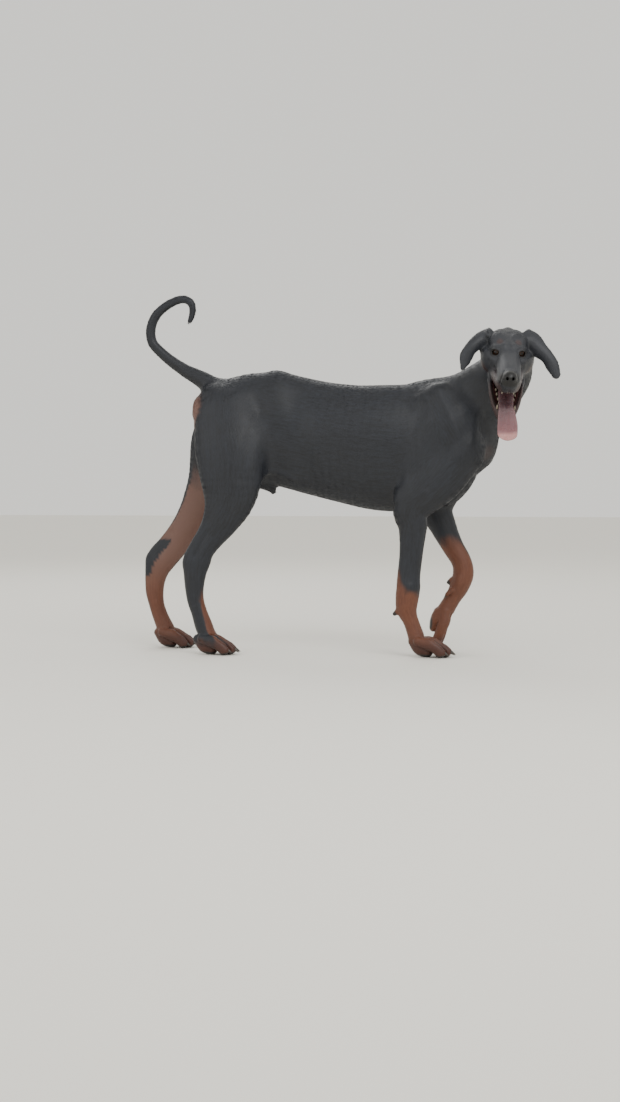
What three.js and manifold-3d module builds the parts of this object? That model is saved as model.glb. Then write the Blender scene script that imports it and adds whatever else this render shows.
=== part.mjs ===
// A young black and tan Doberman pinscher, life size, standing with its head turned to its right,
// its mouth open, its tongue out and its natural tail curled up. Millimetres, +Z up, +X from the
// tail to the chest, +Y to the dog's left. The floor is z = 0.
//
// Flesh is described by chains: lists of stations [x, y, z, half depth, half width] along a bone
// or a muscle. The trunk, the thighs and the head are the skin of a field in which such chains
// melt together, found by rays from an axis. Lower legs, toes, tail, ears and claws are lofts
// along their own chains.
import * as THREE from 'three';
import { mergeVertices } from 'three/addons/utils/BufferGeometryUtils.js';
import Module from 'manifold-3d';

const wasm = await Module();
wasm.setup();

// Driving sizes
const GAP = 0.3;                       // free space between sub-parts that touch
const SOLE_SINK = 1.5;                 // how much of each pad the floor flattens
const RAY_STEP = 4;                    // how finely a ray looks for the skin
const RAY_REACH = 260;                 // and how far it looks
const HALVINGS = 9;
const EYE_RADIUS = 11;
const SIDES = { right: -1, left: 1 };

// The trunk's own place, so that the origin is on the floor under the middle of the whole dog
const DOG_PLACE = new THREE.Vector3(10.4, 101.7, 0);

// The head's frame: its origin is midway between the eyes, +X to the nose, +Y to the dog's left
const HEAD_TURN = new THREE.Euler(
  THREE.MathUtils.degToRad(-4), THREE.MathUtils.degToRad(24), THREE.MathUtils.degToRad(-85.5), 'ZYX');
const HEAD_POSE = new THREE.Matrix4()
  .makeRotationFromEuler(HEAD_TURN)
  .setPosition(381.5, -195, 706.5);

const LATERAL = new THREE.Vector3(0, 1, 0);
const HERE = new THREE.Matrix4();

// Chains
function chain(stations, { blend = 18, side = LATERAL, steps = 3 } = {}) {
  const centres = new THREE.CatmullRomCurve3(
    stations.map(([x, y, z]) => new THREE.Vector3(x, y, z)), false, 'catmullrom', 0.5);
  const sizes = new THREE.CatmullRomCurve3(
    stations.map(([, , , deep, wide]) => new THREE.Vector3(deep, wide, 0)), false, 'catmullrom', 0.5);
  const count = (stations.length - 1) * steps;
  const links = [];
  for (let i = 0; i <= count; i++) {
    links.push({ centre: centres.getPoint(i / count), size: sizes.getPoint(i / count) });
  }
  const segments = [];
  const reach = new THREE.Box3();
  for (let i = 0; i < count; i++) segments.push(segment(links[i], links[i + 1], side));
  for (const { centre, size } of links) {
    const radius = Math.max(size.x, size.y) + blend + 6;
    reach.expandByPoint(centre.clone().addScalar(radius));
    reach.expandByPoint(centre.clone().addScalar(-radius));
  }
  return { blend, segments, reach, links, side };
}

function segment(start, end, side) {
  const along = end.centre.clone().sub(start.centre);
  const length = along.length();
  along.divideScalar(length);
  const wide = side.clone().addScaledVector(along, -side.dot(along)).normalize();
  const deep = along.clone().cross(wide);
  return { start: start.centre, sizeA: start.size, sizeB: end.size, length, along, wide, deep };
}

function distanceToSegment(s, x, y, z) {
  const px = x - s.start.x;
  const py = y - s.start.y;
  const pz = z - s.start.z;
  const run = px * s.along.x + py * s.along.y + pz * s.along.z;
  const t = Math.min(Math.max(run / s.length, 0), 1);
  const over = run - t * s.length;
  const wide = px * s.wide.x + py * s.wide.y + pz * s.wide.z;
  const deep = px * s.deep.x + py * s.deep.y + pz * s.deep.z;
  const halfDeep = s.sizeA.x + (s.sizeB.x - s.sizeA.x) * t;
  const halfWide = s.sizeA.y + (s.sizeB.y - s.sizeA.y) * t;
  const cap = Math.min(halfWide, halfDeep);
  const away = Math.sqrt(over * over + wide * wide + deep * deep);
  const k = Math.sqrt((over / cap) ** 2 + (wide / halfWide) ** 2 + (deep / halfDeep) ** 2);
  return k < 1e-3 ? -cap : Math.max(away * (1 - 1 / k), -cap);
}

// How far a point lies outside the flesh: the chains join with a fillet of about their blend
function melted(chains) {
  const point = new THREE.Vector3();
  return (x, y, z) => {
    point.set(x, y, z);
    let d = 1e3;
    for (const c of chains) {
      if (!c.reach.containsPoint(point)) continue;
      let e = Infinity;
      for (const s of c.segments) e = Math.min(e, distanceToSegment(s, x, y, z));
      const h = Math.max(c.blend - Math.abs(d - e), 0);
      d = Math.min(d, e) - (h * h) / (4 * c.blend);
    }
    return d;
  };
}

// Where the ray from a point inside the flesh leaves it, found in steps and then by halving
function exitFrom(field, from, way) {
  const at = (run) => field(from.x + run * way.x, from.y + run * way.y, from.z + run * way.z);
  let high = RAY_STEP;
  while (high < RAY_REACH && at(high) < 0) high += RAY_STEP;
  let low = high - RAY_STEP;
  for (let round = 0; round < HALVINGS; round++) {
    const middle = (low + high) / 2;
    if (at(middle) < 0) low = middle;
    else high = middle;
  }
  return from.clone().addScaledVector(way, low);
}

// The skin of a field around an axis: a ring of rays from each link of the axis, and rays that
// lean forwards and backwards over its two ends
function wrap(field, axis, around, { pose = HERE, dome = 2 } = {}) {
  const final = axis.links.length - 1;
  const frameAt = (n) => {
    const s = axis.segments[Math.min(n, final - 1)];
    const t = axis.segments[Math.max(n - 1, 0)];
    return {
      centre: axis.links[n].centre,
      along: s.along.clone().add(t.along).normalize(),
      wide: s.wide.clone().add(t.wide).normalize(),
      deep: s.deep.clone().add(t.deep).normalize(),
    };
  };
  const ray = (frame, lean, turn) => frame.wide.clone().multiplyScalar(Math.cos(turn))
    .addScaledVector(frame.deep, Math.sin(turn))
    .multiplyScalar(Math.cos(lean))
    .addScaledVector(frame.along, Math.sin(lean));
  const leans = Array.from({ length: dome }, (_, n) => (Math.PI / 2) * ((n + 1) / (dome + 1)));
  const stops = [
    ...leans.map((lean) => [frameAt(0), -lean]).reverse(),
    ...axis.links.map((_, n) => [frameAt(n), 0]),
    ...leans.map((lean) => [frameAt(final), lean]),
  ];
  const loops = stops.map(([frame, lean]) => Array.from({ length: around }, (_, n) => exitFrom(
    field, frame.centre, ray(frame, lean, (2 * Math.PI * n) / around))));
  const start = frameAt(0);
  const end = frameAt(final);
  return hull(
    loops,
    exitFrom(field, start.centre, start.along.clone().negate()),
    exitFrom(field, end.centre, end.along),
    pose);
}

// A solid along a chain: rings of elliptical section with domed ends. The sections grow by a
// constant where the solid is a recess for the same chain.
function loft(c, around, { grow = 0, pose = HERE, dome = 2 } = {}) {
  const rings = [];
  const last = c.links.length - 1;
  c.links.forEach(({ centre, size }, n) => {
    const s = c.segments[Math.min(n, last - 1)];
    const t = c.segments[Math.max(n - 1, 0)];
    const wide = s.wide.clone().add(t.wide).normalize();
    const deep = s.deep.clone().add(t.deep).normalize();
    rings.push({ centre, wide, deep, halfDeep: size.x + grow, halfWide: size.y + grow, along: s.along });
  });
  const domed = (ring, way) => {
    const radius = Math.min(ring.halfDeep, ring.halfWide);
    return Array.from({ length: dome }, (_, n) => {
      const turn = (Math.PI / 2) * ((n + 1) / (dome + 1));
      const shrink = Math.cos(turn);
      return {
        ...ring,
        centre: ring.centre.clone().addScaledVector(ring.along, way * radius * Math.sin(turn)),
        halfDeep: ring.halfDeep * shrink,
        halfWide: ring.halfWide * shrink,
      };
    });
  };
  const all = [...domed(rings[0], -1).reverse(), ...rings, ...domed(rings[last], 1)];
  const loops = all.map((ring) => Array.from({ length: around }, (_, n) => {
    const turn = (2 * Math.PI * n) / around;
    return ring.centre.clone()
      .addScaledVector(ring.wide, ring.halfWide * Math.cos(turn))
      .addScaledVector(ring.deep, ring.halfDeep * Math.sin(turn));
  }));
  const tip = (ring, way) => ring.centre.clone()
    .addScaledVector(ring.along, way * Math.min(ring.halfDeep, ring.halfWide));
  return hull(loops, tip(rings[0], -1), tip(rings[last], 1), pose);
}

// Closes a list of loops of the same length with a point at each end
function hull(loops, first, final, pose = HERE) {
  const around = loops[0].length;
  const positions = [];
  const faces = [];
  for (const loop of loops) for (const p of loop) positions.push(p.x, p.y, p.z);
  const a = positions.length / 3;
  positions.push(first.x, first.y, first.z, final.x, final.y, final.z);
  for (let n = 0; n < around; n++) {
    const m = (n + 1) % around;
    faces.push(a, m, n);
    for (let r = 0; r + 1 < loops.length; r++) {
      const low = r * around;
      const high = low + around;
      faces.push(low + n, low + m, high + m, low + n, high + m, high + n);
    }
    const top = (loops.length - 1) * around;
    faces.push(a + 1, top + n, top + m);
  }
  return solid(positions, faces, pose);
}

// Solids
function solid(positions, faces, pose) {
  const at = new THREE.BufferAttribute(new Float32Array(positions), 3);
  at.applyMatrix4(pose);
  const body = new wasm.Manifold(new wasm.Mesh({
    numProp: 3, vertProperties: at.array, triVerts: new Uint32Array(faces),
  }));
  if (body.volume() < 0) throw new Error('faces point inwards');
  return body;
}

function solidOf(geometry, pose) {
  const bare = geometry.clone();
  bare.deleteAttribute('normal');
  bare.deleteAttribute('uv');
  const merged = mergeVertices(bare, 1e-4);
  return solid(merged.attributes.position.array, merged.index.array, pose);
}

const joined = (bodies) => bodies.reduce((a, b) => a.add(b));

// A cut is a plane through a point. Its two sides keep GAP between them.
function cut(at, normal, pose = HERE) {
  const way = new THREE.Vector3(...normal).transformDirection(pose);
  return { way, offset: way.dot(new THREE.Vector3(...at).applyMatrix4(pose)) };
}

const ahead = (body, c) => body.trimByPlane(c.way.toArray(), c.offset + GAP / 2);
const behind = (body, c) => body.trimByPlane(c.way.clone().negate().toArray(), GAP / 2 - c.offset);
const aboveFloor = (body) => body.trimByPlane([0, 0, 1], 0);
const largest = (body) => body.decompose().reduce((a, b) => (b.volume() > a.volume() ? b : a));

const dog = new THREE.Group();
dog.position.copy(DOG_PLACE);

function add(name, body, colour, roughness = 0.5) {
  const mesh = largest(body).getMesh();
  const geometry = new THREE.BufferGeometry();
  geometry.setAttribute('position', new THREE.BufferAttribute(mesh.vertProperties, 3));
  geometry.setIndex(new THREE.BufferAttribute(mesh.triVerts, 1));
  geometry.computeVertexNormals();
  const material = new THREE.MeshStandardMaterial({ color: colour, roughness, metalness: 0 });
  const piece = new THREE.Mesh(geometry, material);
  piece.name = name;
  dog.add(piece);
}

// Colours
const BLACK = '#26282b';
const TAN = '#7d5a42';
const SKIN_PINK = '#9a5f64';
const CLAW = '#1d1a18';
const EYE = '#2a1a10';

// The trunk, the shoulders and the neck
const trunk = chain([
  [-318, 0, 588, 72, 50],
  [-262, 0, 560, 106, 62],
  [-207, 0, 538, 131, 68],
  [-146, 0, 527, 137, 72],
  [-74, 0, 515, 139, 82],
  [0, 0, 501, 144, 92],
  [71, 0, 490, 151, 96],
  [143, 0, 490, 153, 93],
  [214, 0, 502, 149, 82],
  [258, 0, 501, 114, 68],
  [288, 0, 484, 78, 53],
], { blend: 30 });

const neck = chain([
  [228, 0, 550, 97, 66],
  [290, -8, 594, 82, 60],
  [338, -32, 631, 72, 55],
  [370, -66, 662, 62, 52],
  [382, -104, 692, 52, 48],
], { blend: 36 });

const sheath = chain([
  [-240, 0, 412, 17, 15],
  [-208, 0, 398, 14, 12],
  [-185, 0, 390, 8, 8],
], { blend: 14, steps: 1 });

const SHOULDER = {
  right: [[196, -50, 606, 50, 22], [240, -62, 545, 66, 30], [278, -63, 478, 48, 33]],
  left: [[196, 50, 606, 50, 22], [248, 62, 545, 66, 30], [288, 62, 478, 48, 33]],
};
const UPPER_ARM = {
  right: [[276, -62, 474, 46, 33], [222, -72, 412, 50, 34], [158, -77, 352, 43, 31]],
  left: [[284, 62, 474, 46, 33], [240, 66, 412, 44, 32], [201, 62, 352, 41, 30]],
};
const TRICEPS = {
  right: [[206, -56, 540, 56, 24], [182, -68, 448, 54, 29], [162, -75, 376, 42, 29]],
  left: [[214, 56, 540, 56, 24], [206, 62, 448, 50, 28], [194, 62, 380, 40, 28]],
};
const FOREARM = {
  right: [
    [154, -77, 352, 43, 31],
    [156, -78, 308, 35, 27],
    [154, -79, 265, 30, 23],
    [151, -79, 228, 28, 21],
    [147, -80, 190, 28, 21],
    [146, -80, 163, 29, 23],
    [143, -80, 137, 28, 23],
    [142, -80, 112, 25, 20],
    [149, -80, 92, 20, 18],
    [156, -80, 74, 19, 18],
    [164, -80, 52, 20, 20],
  ],
  left: [
    [201, 62, 352, 41, 30],
    [217, 58, 304, 33, 26],
    [240, 55, 257, 27, 22],
    [262, 52, 219, 25, 21],
    [267, 50, 188, 26, 22],
    [257, 48, 157, 24, 22],
    [243, 46, 131, 20, 18],
    [228, 45, 106, 21, 20],
    [216, 44, 84, 22, 22],
  ],
};
const HIND_LEG = {
  right: [
    [-300, -36, 596, 74, 44],
    [-288, -58, 510, 84, 44],
    [-281, -68, 440, 74, 40],
    [-283, -76, 372, 60, 33],
    [-302, -80, 320, 44, 26],
    [-325, -82, 285, 33, 21],
    [-348, -83, 252, 29, 19],
    [-361, -83, 222, 31, 19],
    [-366, -83, 190, 25, 18],
    [-366, -83, 153, 21, 17],
    [-362, -83, 127, 20, 17],
    [-352, -84, 99, 20, 18],
    [-341, -84, 68, 22, 21],
    [-332, -84, 48, 20, 22],
  ],
  left: [
    [-300, 36, 596, 74, 44],
    [-314, 56, 510, 86, 44],
    [-330, 64, 440, 78, 40],
    [-362, 68, 378, 58, 33],
    [-398, 71, 322, 40, 27],
    [-429, 73, 281, 32, 22],
    [-458, 74, 246, 28, 19],
    [-483, 75, 214, 31, 19],
    [-493, 75, 180, 27, 18],
    [-496, 75, 145, 24, 17],
    [-492, 75, 108, 20, 17],
    [-482, 75, 78, 20, 18],
    [-470, 75, 50, 22, 22],
  ],
};
const TAIL = [
  [-322, 0, 640, 28, 26],
  [-360, 0, 659, 20, 20],
  [-401, 0, 678, 15.5, 15.5],
  [-438, 0, 702, 14, 14],
  [-466, 0, 726, 13, 13],
  [-482, 0, 745, 12.5, 12.5],
  [-487, 0, 768, 12.5, 12.5],
  [-483, 0, 792, 12.3, 12.3],
  [-471, 0, 814, 12, 12],
  [-453, 0, 830, 11.5, 11.5],
  [-431, 0, 843, 11, 11],
  [-409, 0, 849, 10.5, 10.5],
  [-394, 0, 845, 10, 10],
  [-385, 0, 834, 9.5, 9.5],
  [-384, 0, 818, 8.8, 8.8],
  [-388, 0, 802, 7.5, 7.5],
];

// Cuts between the sub-parts
const HIP_CUT = cut([-203, 0, 398], [214, 0, 192]);
const TAIL_CUT = cut([-370, 0, 664], [-0.85, 0, 0.5]);
const NECK_CUT = cut([285, 0, 580], [157, 0, 120]);
const HEAD_CUT = cut([372, -96, 692], [0.41, -0.71, 0.575]);
const ELBOW_CUT = cut([0, 0, 334], [0, 0, 1]);
const MIDDLE = cut([0, 0, 0], [0, 1, 0]);

const tail = chain(TAIL, { blend: 22, steps: 1 });
const shoulders = Object.values(SHOULDER).map((s) => chain(s, { blend: 22 }));
const body = melted([
  trunk,
  neck,
  ...shoulders,
  ...Object.values(HIND_LEG).map((s) => chain(s.slice(0, 5), { blend: 24 })),
]);
const foreLegs = Object.fromEntries(Object.entries(FOREARM)
  .map(([side, stations]) => [side, loft(chain(stations, { steps: 1 }), 12)]));

const TRUNK_AXIS = chain([
  [-345, 0, 600, 1, 1],
  [-207, 0, 545, 1, 1],
  [0, 0, 501, 1, 1],
  [143, 0, 495, 1, 1],
  [262, 0, 500, 1, 1],
], { steps: 6 });
const tailLoft = loft(tail, 9);

// An upper arm: its bone's own flesh and the muscle behind it, up to the shoulder blade
function upperArm(side) {
  const arm = chain(UPPER_ARM[side], { blend: 30 });
  return wrap(melted([arm, chain(TRICEPS[side], { blend: 30 })]), arm, 16);
}
const trunkSkin = joined([
  wrap(body, TRUNK_AXIS, 28),
  upperArm('right'),
  upperArm('left'),
  foreLegs.right,
  foreLegs.left,
  tailLoft,
  loft(sheath, 8),
]);
const torso = ahead(behind(behind(ahead(trunkSkin, HIP_CUT), TAIL_CUT), NECK_CUT), ELBOW_CUT);
add('torso', torso, BLACK);

const neckSkin = wrap(body, neck, 24);
add('neck', behind(ahead(neckSkin, NECK_CUT), HEAD_CUT), BLACK);

// The tail in three lengths
const TAIL_LENGTHS = [
  ['tail_base', TAIL_CUT],
  ['tail_middle', cut([-483, 0, 750], [-0.2, 0, 1])],
  ['tail_tip', cut([-452, 0, 830], [0.8, 0, 0.45])],
];
add('tail_base', behind(ahead(tailLoft, TAIL_CUT), TAIL_LENGTHS[1][1]), BLACK);
add('tail_middle', behind(ahead(tailLoft.trimByPlane([0, 0, 1], 700), TAIL_LENGTHS[1][1]), TAIL_LENGTHS[2][1]), BLACK);
add('tail_tip', ahead(tailLoft.trimByPlane([0, 0, 1], 760), TAIL_LENGTHS[2][1]), BLACK);

// Paws. In a paw's frame the floor is z = 0, +X to the toes, the pastern comes down at x = 0.
const TOES = [-1.5, -0.5, 0.5, 1.5];
const PAW = {
  toe: (n) => {
    const outer = Math.abs(n) > 1;
    const reach = outer ? 0.84 : 1;
    return [
      [6, 11 * n, 40, 12, 11],
      [38 * reach, 15 * n, 33, 14, 10.5],
      [58 * reach, 16.5 * n, 25, 14, 10.5],
      [74 * reach, 17 * n, 12.2, 13, 10],
    ];
  },
  claw: (n) => {
    const outer = Math.abs(n) > 1;
    const x = 84 * (outer ? 0.84 : 1);
    return [[x - 8, 17 * n, 17, 4, 3.2], [x + 3, 17.4 * n, 14, 3.6, 2.8], [x + 10, 17.6 * n, 7, 1.7, 1.3]];
  },
  pad: [[-6, 0, 38, 12, 12], [10, 0, 22, 17, 19], [27, 0, 15, 15.5, 19]],
};

function paw(name, place, length, pastern, cutHere) {
  const pose = new THREE.Matrix4().makeScale(length, 1, 1).setPosition(...place);
  let body = pastern;
  for (const n of TOES) body = body.add(loft(chain(PAW.toe(n), { steps: 1 }), 7, { pose, dome: 1 }));
  body = body.add(loft(chain(PAW.pad, { steps: 1 }), 10, { pose, dome: 1 }));
  body = body.translate([0, 0, -SOLE_SINK]);
  const claws = [];
  for (const n of TOES) {
    const nail = chain(PAW.claw(n), { steps: 1 });
    const at = pose.clone().setPosition(place[0], place[1], -SOLE_SINK + 0.6);
    body = body.subtract(loft(nail, 6, { grow: GAP, pose: at, dome: 1 }));
    claws.push(loft(nail, 6, { pose: at, dome: 1 }));
  }
  add(name, aboveFloor(body), TAN);
  claws.forEach((claw, n) => add(`${name}_claw_${n + 1}`, claw, CLAW, 0.4));
}

// Hind legs: thigh, lower leg and foot
const HOCK_CUT = { right: cut([0, 0, 205], [0.1, 0, 1]), left: cut([-490, 0, 196], [0.1, 0, 1]) };
const STIFLE_CUT = { right: cut([-290, 0, 345], [0.4, 0, 1]), left: cut([-380, 0, 350], [0.7, 0, 1]) };
const HIND_PAW = { right: [[-350, -84, 0], 1.02], left: [[-481, 75, 0], 1] };
for (const [side, sign] of Object.entries(SIDES)) {
  const thighSkin = wrap(body, chain(HIND_LEG[side].slice(0, 5), { steps: 3 }), 18);
  const half = sign < 0 ? behind(thighSkin, MIDDLE) : ahead(thighSkin, MIDDLE);
  add(`hind_thigh_${side}`, behind(behind(ahead(half, STIFLE_CUT[side]), HIP_CUT), TAIL_CUT), BLACK);
  const leg = loft(chain(HIND_LEG[side].slice(2), { steps: 1 }), 12);
  add(`hind_shank_${side}`, ahead(behind(leg, STIFLE_CUT[side]), HOCK_CUT[side]), BLACK);
  const [place, length] = HIND_PAW[side];
  paw(`hind_foot_${side}`, place, length, behind(leg, HOCK_CUT[side]));
}

// Forelegs: forearm, then the pastern with the paw. The left one is bent and stands on its toes.
const CARPUS_CUT = { right: cut([0, 0, 172], [0, 0, 1]), left: cut([268, 0, 196], [-0.1, 0, 1]) };
const CARPAL_PAD = {
  right: [[124, -80, 109, 8, 9], [114, -80, 101, 6, 7]],
  left: [[240, 50, 174, 8, 9], [232, 50, 168, 6, 7]],
};
const DEWCLAW = {
  right: [[139, -63, 121, 6, 5], [145, -59, 110, 3.4, 3], [152, -58, 100, 1.6, 1.4]],
  left: [[240, 29, 151, 6, 5], [229, 25, 140, 3.4, 3], [221, 24, 130, 1.6, 1.4]],
};
const BENT_PAW = {
  toe: (n) => {
    const lift = Math.abs(n) > 1 ? 8 : 0;
    return [
      [226, 45 + 9 * n, 100, 12, 10],
      [219, 44 + 12.5 * n, 72, 12.5, 10],
      [210, 44 + 14 * n, 43 + lift, 12.5, 10],
      [202, 44 + 13.5 * n, 21 + lift, 11, 9.5],
      [198, 44 + 13 * n, 6.5 + lift, 9, 8.5],
    ];
  },
  claw: (n) => {
    const lift = Math.abs(n) > 1 ? 8 : 0;
    const y = 44 + 13 * n;
    return [[199, y, 14 + lift, 4, 3.4], [208, y, 10 + lift, 3.4, 3], [214, y, 5 + lift, 1.7, 1.4]];
  },
  pad: [[203, 44, 98, 9, 14], [197, 44, 78, 12, 20], [195, 44, 60, 11, 17]],
};

for (const side of ['right', 'left']) {
  const leg = foreLegs[side];
  add(`forearm_${side}`, ahead(behind(leg, ELBOW_CUT), CARPUS_CUT[side]), BLACK);
  const pastern = behind(leg, CARPUS_CUT[side])
    .add(loft(chain(CARPAL_PAD[side], { steps: 1 }), 8, { dome: 1 }));
  const dew = chain(DEWCLAW[side], { steps: 1 });
  const knuckle = loft(chain(DEWCLAW[side].slice(0, 2).map(([x, y, z, deep, wide]) => (
    [x, y, z, deep + 2, wide + 2])), { steps: 1 }), 7, { dome: 1 });
  const tip = largest(dewTip(dew));
  add(`fore_foot_${side}_dewclaw`, tip, CLAW, 0.4);
  const limb = pastern.add(knuckle).subtract(dewTip(dew, GAP));
  if (side === 'right') {
    paw('fore_foot_right', [163, -80, 0], 1, limb.translate([0, 0, SOLE_SINK]));
  } else {
    bentPaw('fore_foot_left', limb);
  }
}

function dewTip(dew, grow = 0) {
  const nail = { ...dew, links: dew.links.slice(1), segments: dew.segments.slice(1) };
  return loft(nail, 6, { grow, dome: 1 });
}

function bentPaw(name, pastern) {
  let body = pastern.add(loft(chain(BENT_PAW.pad, { steps: 1 }), 10, { dome: 1 }));
  for (const n of TOES) body = body.add(loft(chain(BENT_PAW.toe(n), { steps: 1 }), 7, { dome: 1 }));
  const nails = TOES.map((n) => chain(BENT_PAW.claw(n), { steps: 1 }));
  for (const nail of nails) body = body.subtract(loft(nail, 6, { grow: GAP, dome: 1 }));
  add(name, aboveFloor(body), TAN);
  nails.forEach((nail, n) => add(`${name}_claw_${n + 1}`, loft(nail, 6, { dome: 1 }), CLAW, 0.4));
}

// The head. All its chains are in the head's frame.
const SKULL = [[-78, 0, -14, 38, 37], [-48, 0, -10, 39, 44], [-18, 0, -12, 36, 40]];
const MUZZLE = [[2, 0, -20, 30, 33], [40, 0, -22, 27, 29], [80, 0, -25, 25, 27], [104, 0, -28, 22, 25]];
const JAW = [
  [-52, 0, -46, 30, 44],
  [-4, 0, -74, 24, 41],
  [42, 0, -100, 16, 35],
  [76, 0, -118, 13, 26],
  [88, 0, -124, 10, 20],
];
const EAR_BASE = (s) => [[-62, 24 * s, 10, 20, 16], [-54, 43 * s, 20, 14, 12]];
const SOCKET = (s) => [[-14, 20 * s, -6, 14, 14], [-3, 24 * s, -4, 13.5, 13.5]];
const TEMPLE = (s) => [[-66, 22 * s, 2, 24, 22], [-34, 25 * s, 7, 24, 22]];
const NOSE = [[108, 0, -18, 12, 16], [121, 0, -18, 12, 16.5], [128, 0, -19, 10, 14]];
const CHEEK = (s) => [[-52, 36 * s, -34, 32, 20], [-22, 42 * s, -34, 26, 16], [6, 30 * s, -32, 18, 12]];
const LIP = (s) => [[0, 32 * s, -52, 15, 8], [52, 24 * s, -50, 14, 8], [94, 16 * s, -48, 12, 9], [108, 7 * s, -44, 12, 10]];
const MOUTH_FLOOR = [[8, 0, -62, 15, 29], [44, 0, -84, 13, 25], [76, 0, -107, 8, 16]];
const PALATE = [[24, 0, -60, 9, 14], [60, 0, -60, 8, 14], [94, 0, -58, 6, 10]];
const CANINE = (s) => [[92, 12 * s, -48, 4, 3], [94, 12.5 * s, -54, 3, 2.6], [95, 13 * s, -61, 1.2, 1.2]];
const NOSTRIL = (s) => [[122, 7 * s, -17, 3, 2.4], [146, 8 * s, -17, 3.4, 3]];
const TONGUE = [
  [-8, 0, -66, 5, 17],
  [30, 0, -81, 5, 17],
  [64, 0, -97, 5, 17],
  [88, 0, -103, 4.5, 18],
  [99, 2, -118, 4.5, 20],
  [108, 4, -138, 4.3, 21],
  [115, 5, -155, 4, 20],
  [120, 5, -168, 3.6, 16],
];
const JAW_CUT = cut([2, 0, -81], [0.89, 0, -0.45], HEAD_POSE);
const MOUTH_CUT = cut([10, 0, -64], [0.26, 0, 0.97], HEAD_POSE);

const toHead = HEAD_POSE.clone().invert();
const neckInHead = chain(neck.links.map(({ centre, size }) => {
  const p = centre.clone().applyMatrix4(toHead);
  return [p.x, p.y, p.z, size.x, size.y];
}), { blend: 24, side: LATERAL.clone().transformDirection(toHead), steps: 1 });
const bothSides = (shape, blend) => [-1, 1].map((s) => chain(shape(s), { blend }));
const face = melted([
  chain(SKULL, { blend: 16 }),
  chain(MUZZLE, { blend: 16 }),
  chain(NOSE, { blend: 5 }),
  ...bothSides(TEMPLE, 14),
  ...bothSides(EAR_BASE, 12),
  ...bothSides(SOCKET, 7),
  ...bothSides(CHEEK, 14),
  ...bothSides(LIP, 8),
  neckInHead,
]);
const HEAD_AXIS = chain([
  [-96, 0, -40, 1, 1],
  [-60, 0, -20, 1, 1],
  [-10, 0, -14, 1, 1],
  [40, 0, -24, 1, 1],
  [84, 0, -25, 1, 1],
  [120, 0, -22, 1, 1],
], { steps: 4 });
const inHead = (shape, around, grow = 0) => loft(
  chain(shape, { steps: 1 }), around, { grow, pose: HEAD_POSE, dome: 1 });

// An eye looks forwards, outwards and a little up. Its lids are a shell over the eyeball.
const GAZE = (s) => new THREE.Vector3(0.84, 0.52 * s, 0.14).normalize();
const EYE_AT = (s) => new THREE.Vector3(-1, 24.5 * s, -3.5);
const EYE_SLIT = { high: 5.6, wide: 9.6 };
function ball(s, radius) {
  const shape = new THREE.SphereGeometry(radius, 16, 12);
  const at = HEAD_POSE.clone().multiply(new THREE.Matrix4().setPosition(EYE_AT(s)));
  return solidOf(shape, at);
}

// The slit between the lids, as a solid that runs out of the eye along its gaze
function eyeSlit(s) {
  const [near, far] = [4, 34].map((run) => EYE_AT(s).addScaledVector(GAZE(s), run));
  const across = GAZE(s).cross(new THREE.Vector3(0, 0.12 * s, 1)).normalize();
  const stations = [near, far].map((p) => [p.x, p.y, p.z, EYE_SLIT.high, EYE_SLIT.wide]);
  return loft(chain(stations, { steps: 1, side: across }), 10, { pose: HEAD_POSE, dome: 1 });
}

// An ear is a leaf, folded outwards from the top of the skull: [x, y, z, half width]
const EAR = {
  right: [
    [344, -158, 745, 23],
    [323, -165, 738, 20],
    [305, -171, 725, 17],
    [293, -174, 712, 15.5],
    [285, -175, 698, 16],
    [280, -175, 683, 14],
    [275, -174, 667, 7],
  ],
  left: [
    [410, -158, 742, 24],
    [429, -165, 729, 26],
    [449, -171, 711, 20],
    [467, -174, 694, 16],
    [479, -175, 674, 16],
    [488, -175, 652, 12],
  ],
};
const EAR_CUT = {
  right: cut([326, -164, 743], [-0.95, 0, -0.3]),
  left: cut([429, -164, 735], [0.9, 0, -0.44]),
};
const EAR_THICK = 5;
const EAR_CURL = 0.34;

function leaf(side, sign) {
  const spread = new THREE.Vector3(0.6 * sign, 0, 0.8);
  const c = chain(EAR[side].map(([x, y, z, half]) => [x, y, z, half, half]), { side: spread, steps: 2 });
  const across = 6;
  const last = c.links.length - 1;
  const loops = c.links.map(({ centre, size }, n) => {
    const frame = c.segments[Math.min(n, last - 1)];
    const point = (m, face) => {
      const t = -1 + (2 * m) / (across - 1);
      const thick = EAR_THICK * (0.5 - 0.25 * t * t) * (1 + 0.8 * (1 - n / last));
      const bend = EAR_CURL * t * t * size.x * -sign;
      return centre.clone()
        .addScaledVector(frame.wide, t * size.x)
        .addScaledVector(frame.deep, bend + face * thick);
    };
    const front = Array.from({ length: across }, (_, m) => point(m, -1));
    const back = Array.from({ length: across }, (_, m) => point(across - 1 - m, 1));
    return [...front, ...back];
  });
  const tip = c.links[last].centre.clone().addScaledVector(c.segments[last - 1].along, 6);
  const root = c.links[0].centre.clone().addScaledVector(c.segments[0].along, -6);
  return hull(loops, root, tip);
}

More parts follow.
